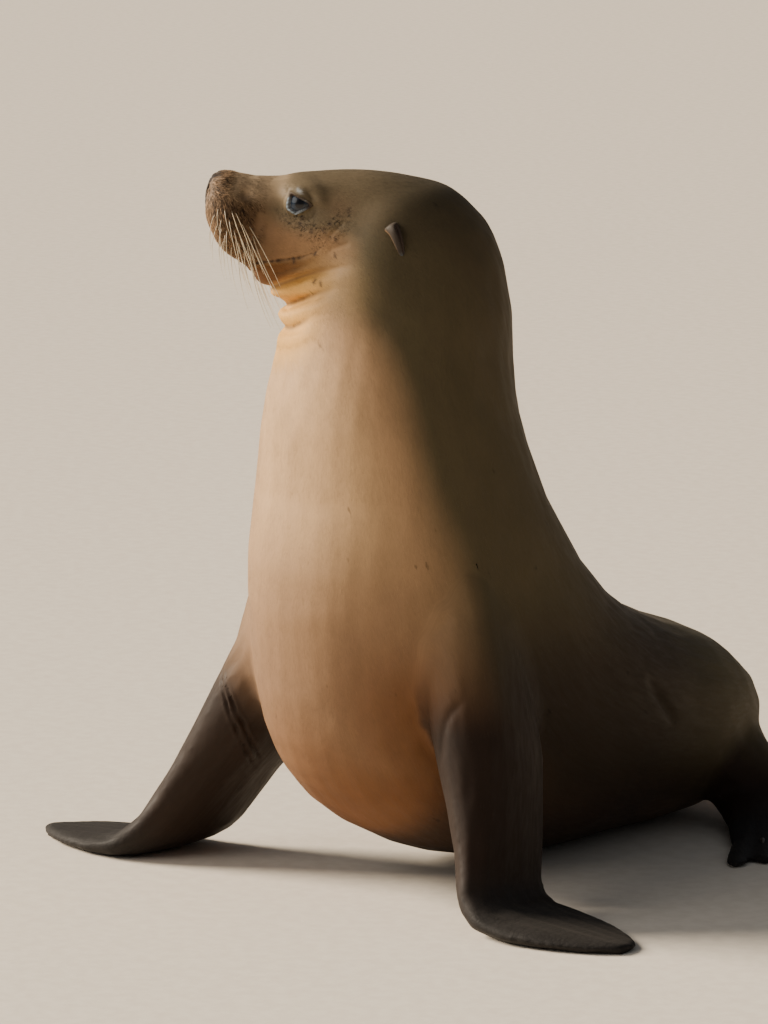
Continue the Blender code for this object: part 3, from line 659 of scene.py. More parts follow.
def markings(net, fields):
    """(colour, with some painted light and shade in it, bareness, wear) of the skin at each vertex.
    """
    places = net.places - BASE
    local = to_head(net.places)
    forwards, aside, up = local.T
    side = np.abs(aside)
    behind, height = places[:, 1], places[:, 2]
    wobble = 0.5 * np.sin(23 * places[:, 0] + 31 * height)
    wobble = wobble + 0.5 * np.sin(41 * behind - 17 * height + 2)
    waved = height + 0.02 * wobble
    colour = np.tile(np.array(OLIVE), (len(places), 1))

    def lay(tone, mask):
        nonlocal colour
        mask = np.clip(mask, 0, 1)[:, None]
        colour = colour * (1 - mask) + np.array(tone) * mask

    ventral = fields.ventral + 0.05 * wobble
    lay(SADDLE, step(-0.1, -0.8, ventral) * step(0.10, 0.22, height) * 0.8)
    lay(RUMP, step(0.30, 0.42, behind) * step(0.12, 0.19, height) * 0.75)
    edge = np.interp(height, (0.23, 0.27, 0.36, 0.51), (0.67, 0.65, 0.57, 0.50))
    chest = step(-0.20, 0.20, ventral - edge)
    lay(TAN, chest)
    lay(PALE, chest * step(0.62, 0.95, ventral) * step(0.28, 0.42, height) * 0.40)
    # Painted shade: the chest is darker below about 0.4 m up, where less light reaches it
    lay(SHADED_TAN, chest * step(0.40, 0.20, waved) * 0.85)
    # Rust low on the chest and on its left, the side away from the light: partly the coat's own
    # rust, partly painted shade
    to_left = step(0.02, 0.12, places[:, 0]) * step(0.30, 0.20, height)
    rust_and_shade = np.maximum(step(0.22, 0.09, waved), to_left) * step(0.06, -0.03, behind)
    lay(RUST_AND_SHADE, chest * rust_and_shade * 0.8)
    # Dark brown low on the flanks behind the arms: partly the belly's own dark brown, partly painted
    # shade
    low = step(0.34, 0.20, height) * step(-0.06, 0.01, behind) * step(0.44, 0.24, behind)
    lay(ARM_BROWN, low * 0.85)
    belly = (fields.normals[:, 2] < 0.3) * step(0.12, 0.04, height) * step(-0.02, 0.08, behind)
    lay(ARM_BROWN, belly * 0.6)

    # Flippers: brown fur that ends in bare black skin, and painted shade in the armpit folds
    bare = np.zeros(len(places))
    for node, (mask, share) in fields.limb.items():
        limb, _, own_side = node.split("_")
        if limb == "fore":
            brown, skin = step(0.10, 0.34, share + 0.02 * wobble), step(0.60, 0.74, share)
            folds = ARMPIT_FOLDS[own_side]
        else:
            brown, skin = step(0.10, 0.40, share), step(0.45, 0.62, share)
            folds = []
        lay(ARM_BROWN, mask * brown)
        lay(BARE_BLACK, mask * skin)
        bare = np.maximum(bare, mask * skin)
        own = places * (SIDES[own_side], 1, 1)
        # Painted shade in the folds between the arm and the chest, heavier on the right
        for route in folds:
            pit, share = along_route(own, route)
            fold_shade = 0.85 if own_side == "right" else 0.35
            lay(ARM_BROWN, bell(pit, 0.0055) * step(0.0, 0.3, share) * fold_shade)
    lay(ARM_BROWN, step(0.555, 0.60, behind) * 0.5)

    # Head: crown, cheek, muzzle and bridge
    on = step(0.165, 0.120, np.linalg.norm(local - (0.06, 0, 0), axis=1))
    lay(CROWN_BROWN, on * step(-0.01, 0.03, up) * step(-0.02, 0.04, forwards))
    cheek = step(0.012, -0.014, up) * step(0.015, 0.055, forwards) * step(-0.075, -0.045, up)
    lay(CHEEK_BROWN, on * cheek)
    on_bridge = step(0.020, 0.034, up) * step(0.160, 0.140, forwards)
    muzzle = step(0.100, 0.140, forwards + 0.25 * np.abs(up - 0.01))
    lay(MUZZLE_BROWN, on * muzzle * (0.9 - 0.7 * on_bridge))
    bridge = step(0.008, 0.024, up) * step(0.172, 0.156, forwards) * step(0.098, 0.112, forwards)
    lay(BRIDGE_TAN, on * bridge * 0.8)

    # Jaw and throat, with a painted glow of sunlight on the jaw and the throat rolls
    beside = np.stack([forwards, up], axis=1)
    above_fold = up - np.interp(forwards, *np.array(THROAT_FOLD[::-1]).T)
    above_mouth = up - np.interp(forwards, *np.array(MOUTH[::-1]).T)
    jaw = step(0.000, -0.005, above_mouth) * step(0.050, 0.085, forwards)
    # Painted light: the golden glow of sun shining through the jaw and the throat rolls
    lay(SUN_GLOW_GOLD, on * jaw * 0.45)
    lay(JAW_RUST, on * jaw * step(0.000, 0.013, above_fold) * 0.9)
    nape_side = np.linalg.norm((beside - (0.048, -0.052)) / (0.032, 0.030), axis=1)
    lay(KHAKI, bell(nape_side, 1.0) * (fields.ventral > -0.3) * 0.9)
    throat = step(0.006, -0.003, above_fold)
    lay(SUN_GLOW_GOLD, on * throat * step(0.035, 0.080, forwards) * step(0.135, 0.120, forwards) * 0.9)

    # Round the eye, with a painted highlight on the wet brow
    gap = np.linalg.norm(beside - (EYE_FORWARDS, EYE_UP), axis=1) + (side < 0.015)
    lay(CROWN_BROWN, bell(gap - 0.018, 0.012) * 0.6)
    behind_eye = np.linalg.norm(beside - (0.052, 0.024), axis=1)
    lay(MUZZLE_BROWN, bell(behind_eye, 0.014) * 0.45 * (side > 0.02))
    # A painted highlight: a pale blue-white patch on the wet brow above the eye
    brow_highlight, _ = along_route(beside, [(0.0950, 0.0335), (0.0925, 0.0325)])
    lay(BROW_HIGHLIGHT, bell(brow_highlight, 0.0020) * 0.55 * (side > 0.015))

    # Mouth line, painted shade in the folds, nicks and the rows that the whiskers grow from
    mouth, share = along_route(beside, MOUTH)
    broken = 0.65 + 0.35 * np.sin(70 * share + 2.0 * np.sin(31 * share))
    line = bell(mouth, 0.0011 + 0.0009 * broken) * broken
    lay(LIP_BLACK, line * step(0.90, 0.55, share) * on)
    # Painted shade along the throat folds
    for route in (THROAT_FOLD, SECOND_FOLD, THIRD_FOLD):
        fold, share = along_route(beside, route)
        lay(MUZZLE_BROWN, bell(fold, 0.0022) * step(1.0, 0.5, share) * on * 0.7)
    for number, (start, top) in enumerate(NICKS):
        lean = 0.0016 * math.sin(2.4 * number)
        mark, _ = along_route(beside, [(start, top), (start + lean, top - 0.0035)])
        lay(LIP_BLACK, bell(mark, 0.0011) * (aside > 0.02) * 0.85)
    for row in range(6):
        start, end = (0.177 - 0.003 * row, 0.006 - 0.008 * row), (0.132, 0.002 - 0.008 * row)
        follicles, share = along_route(beside, [start, end])
        spots = bell(follicles, 0.0024) * np.sin(34 * share + 1.3 * row) ** 4
        lay(LIP_BLACK, spots * (side > 0.012) * on * 0.85)

    # Rim of the eye, with a painted bluish reflection of the sky on its wet edge, and nose pad
    # Painted reflection: a broken pale blue line on the wet front and lower rim
    rim = step(0.62, 0.82, fields.lids) * step(0.0280, 0.0215, up) * step(0.080, 0.088, forwards)
    lay(LIP_BLACK, step(0.36, 0.66, fields.lids) * 0.6)
    lay(RIM_SKY_REFLECTION, rim * (0.35 + 0.5 * np.sin(420 * forwards + 760 * up) ** 2))
    lay(LIP_BLACK, step(0.86, 0.98, fields.lids) * 0.7)
    pad = step(0.1710, 0.1750, forwards) * step(0.0150, 0.0115, side)
    pad = pad * step(-0.008, -0.002, up) * step(0.034, 0.030, up)
    lay(NOSE_BLACK, pad)
    bare = np.maximum(bare, pad)

    bags, corner = along_route(beside, EYE_BAGS)[0], along_route(beside, EYE_CORNER)[0]
    worn = np.maximum(bell(bags, 0.013), 0.8 * bell(corner, 0.010)) * (side > 0.02) * on
    worn = np.maximum(worn, 0.25 * step(0.110, 0.140, forwards) * on)
    return colour, bare, worn


def give(data, name, values):
    """Stores numbers, vectors or colours on a mesh's vertices."""
    values = np.asarray(values, np.float32)
    kind, field = "FLOAT_VECTOR", "vector"
    if values.ndim == 1:
        kind, field = "FLOAT", "value"
    elif name == "tint":
        kind, field = "FLOAT_COLOR", "color"
        values = np.hstack([values, np.ones((len(values), 1), np.float32)])
    data.attributes.new(name, kind, "POINT").data.foreach_set(field, values.ravel())


# ---------------------------------------------------------------- materials


class Shader:
    """A short way to write the nodes of one material."""

    def __init__(self, name):
        self.material = bpy.data.materials.new(name)
        self.material.use_nodes = True
        self.tree = self.material.node_tree
        self.surface = self.tree.nodes["Principled BSDF"]

    def node(self, kind, inputs=(), **settings):
        made = self.tree.nodes.new("ShaderNode" + kind)
        for setting, value in settings.items():
            setattr(made, setting, value)
        for socket, value in dict(inputs).items():
            self.put(made.inputs[socket], value)
        return made

    def put(self, socket, value):
        if isinstance(value, bpy.types.NodeSocket):
            self.tree.links.new(value, socket)
        else:
            socket.default_value = value

    def attribute(self, name, output):
        return self.node("Attribute", attribute_name=name).outputs[output]

    def math(self, operation, first, second=0.0):
        return self.node("Math", {0: first, 1: second}, operation=operation).outputs[0]

    def plus(self, first, second):
        return self.math("ADD", first, second)

    def times(self, first, second):
        return self.math("MULTIPLY", first, second)

    def scaled(self, vector, factors):
        return self.node("VectorMath", {0: vector, 1: factors}, operation="MULTIPLY").outputs[0]

    def noise(self, place, along, across, detail=3.0, roughness=0.55):
        """Noise with this many grains to the unit along the first axis and across it."""
        place = self.scaled(place, (along, across, across))
        sockets = {"Vector": place, "Scale": 1.0, "Detail": detail, "Roughness": roughness}
        return self.node("TexNoise", sockets).outputs["Fac"]

    def ramp(self, value, low, high, start=0.0, end=1.0):
        sockets = {"Value": value, "From Min": low, "From Max": high}
        sockets |= {"To Min": start, "To Max": end}
        return self.node("MapRange", sockets, interpolation_type="SMOOTHSTEP").outputs["Result"]

    def mix(self, factor, first, second):
        made = self.node("Mix", data_type="RGBA")
        for index, value in ((0, factor), (6, first), (7, second)):
            self.put(made.inputs[index], value)
        return made.outputs[2]

    def brightened(self, colour, factor):
        """The colour times a grey factor."""
        grey = self.node("CombineXYZ", {0: factor, 1: factor, 2: factor}).outputs[0]
        return self.scaled(colour, grey)

    def bump(self, height, distance, strength=1.0):
        sockets = {"Height": height, "Distance": distance, "Strength": strength}
        return self.node("Bump", sockets).outputs["Normal"]

    def set(self, **values):
        for name, value in values.items():
            self.put(self.surface.inputs[name.replace("_", " ")], value)


def coat_material():
    """Short fur over the markings, with streaks, mottling, nicks and cracks where it is worn.

    Where the skin is bare it is creased leather instead.
    """
    s = Shader("coat")
    tint, lie = s.attribute("tint", "Color"), s.attribute("lie", "Vector")
    bare, worn = s.attribute("bare", "Fac"), s.attribute("worn", "Fac")
    hairs = s.noise(lie, 70.0, 900.0, 2.0)
    locks = s.noise(lie, 40.0, 260.0)
    patches = s.noise(lie, 13.0, 22.0, 4.0, 0.6)
    grains = s.noise(lie, 420.0, 520.0, 1.0)
    nicks = s.noise(lie, 38.0, 90.0, 1.5)
    flecks = s.noise(lie, 330.0, 240.0, 3.0, 0.65)
    dark = s.times(s.ramp(flecks, 0.53, 0.64), worn)
    pale = s.times(s.ramp(flecks, 0.47, 0.38), worn)
    lines = s.noise(lie, 70.0, 110.0, 3.0, 0.6)
    lines = s.math("ABSOLUTE", s.math("SUBTRACT", lines, 0.5))
    cracks = s.times(s.ramp(lines, 0.004, 0.022, 1.0, 0.0), s.ramp(locks, 0.44, 0.56))
    cracks = s.times(cracks, worn)
    light = s.plus(s.ramp(hairs, 0.30, 0.70, 0.95, 1.04), s.ramp(locks, 0.30, 0.70, -0.03, 0.03))
    for pattern, low, high, start, end in (
        (patches, 0.30, 0.70, 0.94, 1.06),
        (grains, 0.22, 0.30, 0.86, 1.0),
        (nicks, 0.73, 0.78, 1.0, 0.60),
        (dark, 0.0, 1.0, 1.0, 0.22),
        (cracks, 0.0, 1.0, 1.0, 0.34),
        (pale, 0.0, 1.0, 1.0, 1.35),
    ):
        light = s.times(light, s.ramp(pattern, low, high, start, end))
    colour = s.brightened(tint, light)
    cells = s.node(
        "TexVoronoi",
        {"Vector": s.scaled(lie, (150.0, 230.0, 230.0)), "Scale": 1.0, "Randomness": 1.0},
        feature="DISTANCE_TO_EDGE",
    ).outputs["Distance"]
    creases = s.ramp(cells, 0.0, 0.16)
    wrinkles = s.noise(lie, 90.0, 34.0, 4.0)
    hide = s.times(s.math("SUBTRACT", 1.0, creases), bare)
    colour = s.brightened(colour, s.ramp(hide, 0.0, 1.0, 1.0, 0.80))
    fur = s.plus(s.times(hairs, 0.03), s.times(locks, 0.06))
    fur = s.plus(fur, s.times(s.times(flecks, worn), -1.2))
    fur = s.plus(fur, s.times(cracks, -0.35))
    leather = s.plus(s.times(creases, 0.16), s.times(wrinkles, 1.5))
    height = s.node("Mix", {0: bare, 2: fur, 3: leather}, data_type="FLOAT").outputs[0]
    s.set(
        Base_Color=colour,
        Roughness=s.plus(s.ramp(bare, 0.0, 1.0, 0.62, 0.60), s.ramp(locks, 0.3, 0.7, -0.06, 0.08)),
        Sheen_Weight=0.03,
        Sheen_Roughness=0.45,
        Sheen_Tint=(0.95, 0.85, 0.72, 1.0),
        Specular_IOR_Level=s.ramp(bare, 0.0, 1.0, 0.17, 0.09),
        Normal=s.bump(height, 0.0007, 0.75),
    )
    return s.material


def eye_material():
    """Dark iris and pupil under a wet front, with a painted blue reflection at one edge. The angle
    is from the middle, in radians.
    """
    s = Shader("wet_eye")
    angle, lie = s.attribute("angle", "Fac"), s.attribute("lie", "Vector")
    rays = s.noise(s.scaled(lie, (7.0, 7.0, 1.0)), 2.0, 2.0, 2.0)
    front = s.node("SeparateXYZ", {0: lie}).outputs[0]
    colour = s.mix(s.ramp(rays, 0.35, 0.7), (0.006, 0.009, 0.016, 1), (0.016, 0.024, 0.040, 1))
    colour = s.mix(s.ramp(angle, 0.24, 0.30), (0.002, 0.002, 0.004, 1), colour)
    for pattern, low, high, tone in (
        (angle, 0.60, 0.68, (0.006, 0.006, 0.009, 1)),
        (angle, 0.86, 1.00, (0.060, 0.055, 0.055, 1)),
        # Painted reflection: a lighter blue crescent at one edge of the iris
        (front, -0.18, -0.42, (0.017, 0.034, 0.062, 1)),
    ):
        colour = s.mix(s.ramp(pattern, low, high), colour, tone)
    s.set(
        Base_Color=colour,
        Roughness=0.28,
        Specular_IOR_Level=0.20,
        Coat_Weight=0.45,
        Coat_Roughness=0.06,
    )
    return s.material


def horn_material(name, root, tip, roughness):
    """Hair or claw that changes colour from root to tip, with fine lengthwise grain."""
    s = Shader(name)
    along, lie = s.attribute("along", "Fac"), s.attribute("lie", "Vector")
    grain = s.noise(lie, 3.0, 40.0, 2.0)
    colour = s.mix(s.ramp(along, 0.0, 1.0), (*root, 1), (*tip, 1))
    s.set(
        Base_Color=s.brightened(colour, s.ramp(grain, 0.3, 0.7, 0.8, 1.15)),
        Roughness=roughness,
        Normal=s.bump(grain, 0.0001, 0.4),
    )
    return s.material


def floor_material():
    s = Shader("pale_floor")
    place = s.node("TexCoord").outputs["Object"]
    grain = s.noise(place, 60.0, 60.0, 5.0)
    colour = s.mix(s.ramp(grain, 0.3, 0.7), (0.72, 0.645, 0.545, 1), (0.78, 0.705, 0.605, 1))
    s.set(Base_Color=colour, Roughness=0.9, Normal=s.bump(grain, 0.001, 0.3))
    return s.material


# ---------------------------------------------------------------- coat


BODY_TUFTS, HEAD_TUFTS, TUFTS_IN_A_PIECE = 130000, 85000, 32000
PATCH = 0.003  # side of a tuft's patch on the unwrap
LEAF = [  # along, across, out: root, widest left and right, ridge and tip of a tuft
    (0.00, 0.0, -0.5), (0.38, -0.5, 0.10), (0.38, 0.5, 0.10), (0.42, 0.0, 0.50),
    (1.00, 0.0, 0.90),
]
LEAF_FACES = [(0, 1, 3), (0, 3, 2), (1, 4, 3), (3, 4, 2), (0, 2, 1), (1, 2, 4)]
HOLLOW = 0.00005  # how far the skin may rise ahead of a tuft


def scattered(net, density, count):
    """(corner vertices, shares) of random spots on the skin, as dense as the density says."""
    data = net.data
    data.calc_loop_triangles()
    triangles = np.empty(len(data.loop_triangles) * 3, np.int32)
    data.loop_triangles.foreach_get("vertices", triangles)
    triangles = triangles.reshape(-1, 3)
    a, b, c = (net.places[triangles[:, k]] for k in range(3))
    area = np.linalg.norm(np.cross(b - a, c - a), axis=1) / 2 * density[triangles].mean(axis=1)
    chance = np.cumsum(area)
    chosen = triangles[np.searchsorted(chance, rng.random(count) * chance[-1])]
    first, second = rng.random(count), rng.random(count)
    flip = first + second > 1
    first[flip], second[flip] = 1 - first[flip], 1 - second[flip]
    return chosen, np.stack([1 - first - second, first, second], axis=1)


def at_spots(values, chosen, shares):
    picked = values[chosen]
    if values.ndim == 1:
        return np.sum(picked * shares, axis=1)
    return np.sum(picked * shares[:, :, None], axis=1)


def to_skin(tree, places):
    """The way from each place to the skin nearest to it."""
    return np.array([tree.find_nearest(Vector(place))[0] for place in places.tolist()]) - places


def tufts(name, net, fields, tree, material, count, density, looks):
    """Leaf-shaped tufts that lie along the coat and bend with it, in pieces of even size.

    Each is a closed solid. The looks are length, width, rise, contrast and roundness by vertex.
    """
    chosen, shares = scattered(net, density, count)
    roots = at_spots(net.places, chosen, shares)
    normals = unit(at_spots(fields.normals, chosen, shares))
    flow = at_spots(fields.flow, chosen, shares)
    flow = unit(flow + 0.10 * rng.normal(size=flow.shape))
    flow = unit(flow - np.sum(flow * normals, axis=1, keepdims=True) * normals)

    # A tuft that would bridge a hollow is left out, and the smooth fur of the skin shows there
    ahead = to_skin(tree, roots + at_spots(looks[0], chosen, shares)[:, None] * flow)
    kept = np.sum(ahead * normals, axis=1) < HOLLOW
    chosen, shares, roots, normals, flow = (v[kept] for v in (chosen, shares, roots, normals, flow))
    count = len(chosen)

    length, width, rise, contrast, roundness = (at_spots(look, chosen, shares) for look in looks)
    length = length * np.exp(0.22 * rng.normal(size=count))
    width = width * np.exp(0.2 * rng.normal(size=count))
    rise = rise * (0.6 + 0.8 * rng.random(count))
    leaf = np.array(LEAF)
    scaled = leaf[None] * np.stack([length, width, rise], axis=1)[:, None]
    across = np.cross(normals, flow)
    places = roots[:, None] + scaled @ np.stack([flow, across, normals], axis=1)
    run = length[:, None] * flow
    places[:, 1:4] += to_skin(tree, roots + 0.4 * run)[:, None]
    places[:, 4] += to_skin(tree, roots + run)
    places[..., 2] = np.maximum(places[..., 2], COAT_LOWEST)

    strength = contrast * rng.normal(size=count)
    strength = np.where(strength < -0.15, 2.2 * strength, strength)
    tips = np.where(leaf[:, 0] > 0.9, 1.03, 1.0)
    tint = at_spots(fields.tint, chosen, shares) * np.exp(strength)[:, None]
    tint = tint[:, None] * tips[None, :, None]
    lie = at_spots(fields.lie, chosen, shares)[:, None] + scaled
    worn = at_spots(fields.worn, chosen, shares)
    patch = PATCH * (leaf[:, :2] + (0.0, 0.5)) - PATCH / 2
    unwrap = fields.unwrap[chosen[:, 0]][:, None] + patch[None]
    # A tuft is lit like the skin that it lies on, more or less rounded from side to side
    bulge = roundness[:, None, None] * (2.0 * leaf[None, :, 1, None] * across[:, None])
    facing = unit(normals[:, None] + bulge)

    order = rng.permutation(count)
    pieces = math.ceil(count / TUFTS_IN_A_PIECE)
    for number, part in enumerate(np.array_split(order, pieces), start=1):
        first = len(leaf) * np.arange(len(part))
        faces = (np.array(LEAF_FACES)[None] + first[:, None, None]).reshape(-1, 3)
        data = bpy.data.meshes.new(f"{name}_{number}")
        data.vertices.add(len(leaf) * len(part))
        data.vertices.foreach_set("co", places[part].astype(np.float32).ravel())
        data.loops.add(faces.size)
        data.loops.foreach_set("vertex_index", faces.astype(np.int32).ravel())
        data.polygons.add(len(faces))
        data.polygons.foreach_set("loop_start", np.arange(0, faces.size, 3, dtype=np.int32))
        data.update(calc_edges=True)
        data.shade_smooth()
        give(data, "tint", tint[part].reshape(-1, 3))
        give(data, "lie", lie[part].reshape(-1, 3))
        give(data, "worn", np.repeat(worn[part], len(leaf)))
        data.normals_split_custom_set_from_vertices(facing[part].reshape(-1, 3).astype(np.float32))
        spots = unwrap[part].reshape(-1, 2)[faces.ravel()]
        layer = data.uv_layers.new(name="OFBake")
        layer.data.foreach_set("uv", spots.astype(np.float32).ravel())
        data.materials.append(material)
        made = added(f"{name}_{number}", data)
        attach(made, "root")


def coat(net, fields, tree, material):
    local = to_head(net.places)
    forwards, _, up = local.T
    radius = np.linalg.norm(local - (0.06, 0, 0), axis=1)
    head = step(0.150, 0.105, radius)
    muzzle = step(0.115, 0.145, forwards) * (radius < 0.17)
    muzzle = muzzle * (1 - 0.85 * step(0.006, 0.022, up) * step(0.172, 0.158, forwards))
    limbs = np.clip(sum(mask for mask, _ in fields.limb.values()), 0, 1)
    off_floor = net.places[:, 2] >= 0.006
    furred = (1 - fields.bare) * off_floor * (fields.lids < 0.42)
    # Sharp creases hold no tufts either
    evened = unit(net.soften(fields.normals, 5))
    furred = furred * step(0.950, 0.985, np.sum(evened * fields.normals, axis=1))
    looks = (
        0.0080 - 0.0046 * head + 0.0034 * muzzle - 0.0030 * limbs,
        0.00085 - 0.00040 * head + 0.00025 * muzzle - 0.0003 * limbs,
        0.00006 + 0.00006 * head + 0.0015 * muzzle,
        0.030 + 0.060 * head + 0.38 * muzzle,
        0.04 + 0.10 * head + 0.36 * muzzle,
    )
    tufts("coat_body", net, fields, tree, material, BODY_TUFTS, furred * (1 - head), looks)
    tufts("coat_head", net, fields, tree, material, HEAD_TUFTS, furred * head, looks)


# ---------------------------------------------------------------- eyes, ears, whiskers and claws


def ball_faces(rings, around):
    """Faces of a sphere whose rows run from pole to pole, with one vertex at each pole."""

    def at(ring, k):
        return 1 + (ring - 1) * around + k % around

    last = at(rings, 0)
    faces = [(0, at(1, k), at(1, k + 1)) for k in range(around)]
    for ring in range(1, rings - 1):
        for k in range(around):
            faces.append((at(ring, k), at(ring + 1, k), at(ring + 1, k + 1), at(ring, k + 1)))
    return faces + [(at(rings - 1, k + 1), at(rings - 1, k), last) for k in range(around)]


def ball_directions(rings, around):
    """(directions, angle from the first pole) with the pole along +Z."""
    rows = [(0.0, 0.0)]
    for ring in range(1, rings):
        rows += [(math.pi * ring / rings, 2 * math.pi * k / around) for k in range(around)]
    rows.append((math.pi, 0.0))
    polar, turn = np.array(rows).T
    out = np.sin(polar)
    return np.stack([out * np.cos(turn), out * np.sin(turn), np.cos(polar)], axis=1), polar


def beside_head(tree, sign, forwards, up):
    """The place and the normal of the skin at one side of the head."""
    start = Vector(on_head(forwards, sign * 0.2, up))
    place, normal, _, _ = tree.ray_cast(start, Vector(-sign * HEAD_AXES[1]))
    return np.array(place), np.array(normal)


EYE_MESH, NAIL_MESH = (40, 56), (20, 20)  # rings and rows of vertices


def eye(side, material):
    """A ball with a clear front that stands out a little, looking aside and a little ahead."""
    sign = SIDES[side]
    directions, polar = ball_directions(*EYE_MESH)
    gaze = (GAZE * (1, sign, 1)) @ HEAD_AXES
    level = unit(np.cross((0, 0, 1), gaze))
    axes = np.array([level, np.cross(gaze, level), gaze])
    radius = (EYE_RADIUS - 0.0006) * (1 + 0.035 * bell(polar, 0.50))
    places = centre_of(f"eye_{side}") + (directions * radius[:, None]) @ axes
    made = linked(f"eyeball_{side}", places, ball_faces(*EYE_MESH))
    give(made.data, "angle", polar)
    give(made.data, "lie", directions)
    made.data.materials.append(material)
    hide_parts(f"eye_{side}")
    return made


EAR_ROOT = (-0.0045, 0.0145)
EAR = [  # outwards, back and down from the root, half width, half thickness
    (-0.0060, -0.0040, -0.0050, 0.0072, 0.0066),
    (0.0010, -0.0015, -0.0030, 0.0071, 0.0056),
    (0.0075, 0.0035, 0.0030, 0.0064, 0.0046),
    (0.0108, 0.0080, 0.0110, 0.0056, 0.0039),
    (0.0118, 0.0125, 0.0195, 0.0044, 0.0031),
    (0.0116, 0.0155, 0.0262, 0.0027, 0.0021),
    (0.0112, 0.0164, 0.0280, 0.0008, 0.0007),
]
EAR_TOP, EAR_LOW, EAR_TIP = (0.040, 0.030, 0.021), (0.036, 0.028, 0.024), (0.090, 0.100, 0.110)


def ear(side, tree, material):
    """A rolled cone, open along its back edge, that hangs back and down."""
    sign = SIDES[side]
    root, outwards = beside_head(tree, sign, *EAR_ROOT)
    back, down = -HEAD_AXES[0], -HEAD_AXES[2]
    across = unit(back - down)
    rows, around = 28, 32
    table = np.array(EAR)
    at = np.linspace(0, len(table) - 1, rows)
    table = np.stack([np.interp(at, np.arange(len(table)), table[:, k]) for k in range(5)], axis=1)
    for _ in range(3):
        table[1:-1] = 0.25 * (table[:-2] + 2 * table[1:-1] + table[2:])
    turn = np.linspace(0, 2 * math.pi, around, endpoint=False)
    opening = (turn - 0.75 + math.pi) % (2 * math.pi) - math.pi
    along = np.linspace(0, 1, rows)
    places, tints = [], []
    for share, (out, to_back, to_foot, half_width, half_thick) in zip(along, table):
        dent = 1 - 0.62 * bell(opening, 0.42) * step(0.18, 0.35, share) * step(1.0, 0.80, share)
        middle = root + outwards * out + back * to_back + down * to_foot
        ring = np.outer(half_width * np.cos(turn) * dent, across)
        places.append(middle + ring + np.outer(half_thick * np.sin(turn) * dent, outwards))
        # Painted shade inside the roll of the ear
        inside = bell(opening, 0.50)[:, None] * step(0.10, 0.30, share)
        fur = np.array(EAR_TOP) * (1 - share) + np.array(EAR_LOW) * share
        tip = step(0.72, 0.95, share)
        fur = fur * (1 - tip) + np.array(EAR_TIP) * tip
        # A painted highlight: a lighter tan along the ear's front edge, fading towards the tip
        front = bell(turn - math.pi, 0.30)[:, None]
        shade = fur * (1 - front * (1 - share)) + np.array(CHEEK_BROWN) * front * (1 - share)
        tints.append(shade * (1 - 0.9 * inside) + np.array(LIP_BLACK) * 0.9 * inside)
    count = rows * around
    faces = []
    for row in range(rows - 1):
        for k in range(around):
            a, b = row * around + k, row * around + (k + 1) % around
            faces.append((a, b, b + around, a + around))
    faces += [tuple(range(around))[::-1], tuple(range(count - around, count))]
    if sign > 0:
        faces = [face[::-1] for face in faces]
    places, tints = np.concatenate(places), np.concatenate(tints)
    made = linked(f"ear_flap_{side}", places, faces)
    give(made.data, "tint", tints)
    give(made.data, "lie", (places - root) @ np.array([down, across, outwards]).T)
    give(made.data, "bare", np.repeat(step(0.6, 0.9, along), around))
    made.data.materials.append(material)
    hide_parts(f"ear_{side}")
    return made


def rods(name, lines, radii, material, sides=5):
    """Tapered hairs as closed tubes. Each line is its places, and radii its radius at each."""
    places, faces, along, lie = [], [], [], []
    turn = np.linspace(0, 2 * math.pi, sides, endpoint=False)
    for line, radius in zip(lines, radii):
        start, rows = len(places), len(line)
        heading = unit(np.gradient(line, axis=0))
        level = unit(np.cross(heading, (0.31, 0.22, 0.93)))
        other = np.cross(heading, level)
        for row in range(rows):
            for angle in turn:
                round_it = math.cos(angle) * level[row] + math.sin(angle) * other[row]
                places.append(line[row] + radius[row] * round_it)
                along.append(row / (rows - 1))
                lie.append((row * 0.2 + start, math.cos(angle), math.sin(angle)))
        for row in range(rows - 1):
            for k in range(sides):
                a, b = start + row * sides + k, start + row * sides + (k + 1) % sides
                faces.append((a, a + sides, b + sides, b))
        faces.append(tuple(range(start, start + sides)))
        faces.append(tuple(range(start + rows * sides - 1, start + (rows - 1) * sides - 1, -1)))
    made = linked(name, places, faces)
    give(made.data, "along", np.array(along))
    give(made.data, "lie", np.array(lie))
    made.data.materials.append(material)
    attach(made, "root")
    return made


WHISKER_ROWS = [  # height, first and last place forwards, number
    (0.004, 0.171, 0.150, 4),
    (-0.005, 0.172, 0.138, 6),
    (-0.014, 0.170, 0.132, 7),
    (-0.023, 0.165, 0.130, 6),
    (-0.032, 0.157, 0.130, 5),
]
LONG_ROWS, WHISKER_STEPS, WHISKER_SUNK = (1, 2, 3), 14, 0.0012


def whiskers(side, tree, material):
    """Stiff ivory hairs in rows on the pad. They leave it outwards and hang down and back."""
    sign = SIDES[side]
    lines, radii = [], []
    for row, (up, first, last, number) in enumerate(WHISKER_ROWS):
        for forwards in np.linspace(first, last, number):
            at_back = (first - forwards) / (first - 0.130)
            forwards = forwards + 0.0015 * rng.normal()
            level = up - 0.006 * at_back + 0.001 * rng.normal()
            root, outwards = beside_head(tree, sign, forwards, level)
            length = 0.030 + 0.050 * at_back + 0.008 * (row in LONG_ROWS)
            length = length * math.exp(0.12 * rng.normal())
            away = 0.80 * outwards + np.array([-0.30 - 0.15 * at_back, 0, -0.80]) @ HEAD_AXES
            lean = -0.34 - 0.28 * at_back + 0.05 * rng.normal()
            droop = np.array([lean, sign * (0.14 + 0.07 * rng.normal()), -0.82]) @ HEAD_AXES
            share = np.linspace(0, 1, WHISKER_STEPS)[:, None] ** 0.8
            headings = unit((1 - share) * away + share * droop)
            start = root - WHISKER_SUNK * outwards
            line = start + np.cumsum(headings * length / WHISKER_STEPS, axis=0)
            lines.append(np.vstack([start, line]))
            taper = 1 - np.linspace(0, 1, WHISKER_STEPS + 1) ** 1.4 * 0.80
            radii.append((0.00036 + 0.00026 * at_back) * taper)
    made = rods(f"whiskers_{side}", lines, radii, material)
    return made


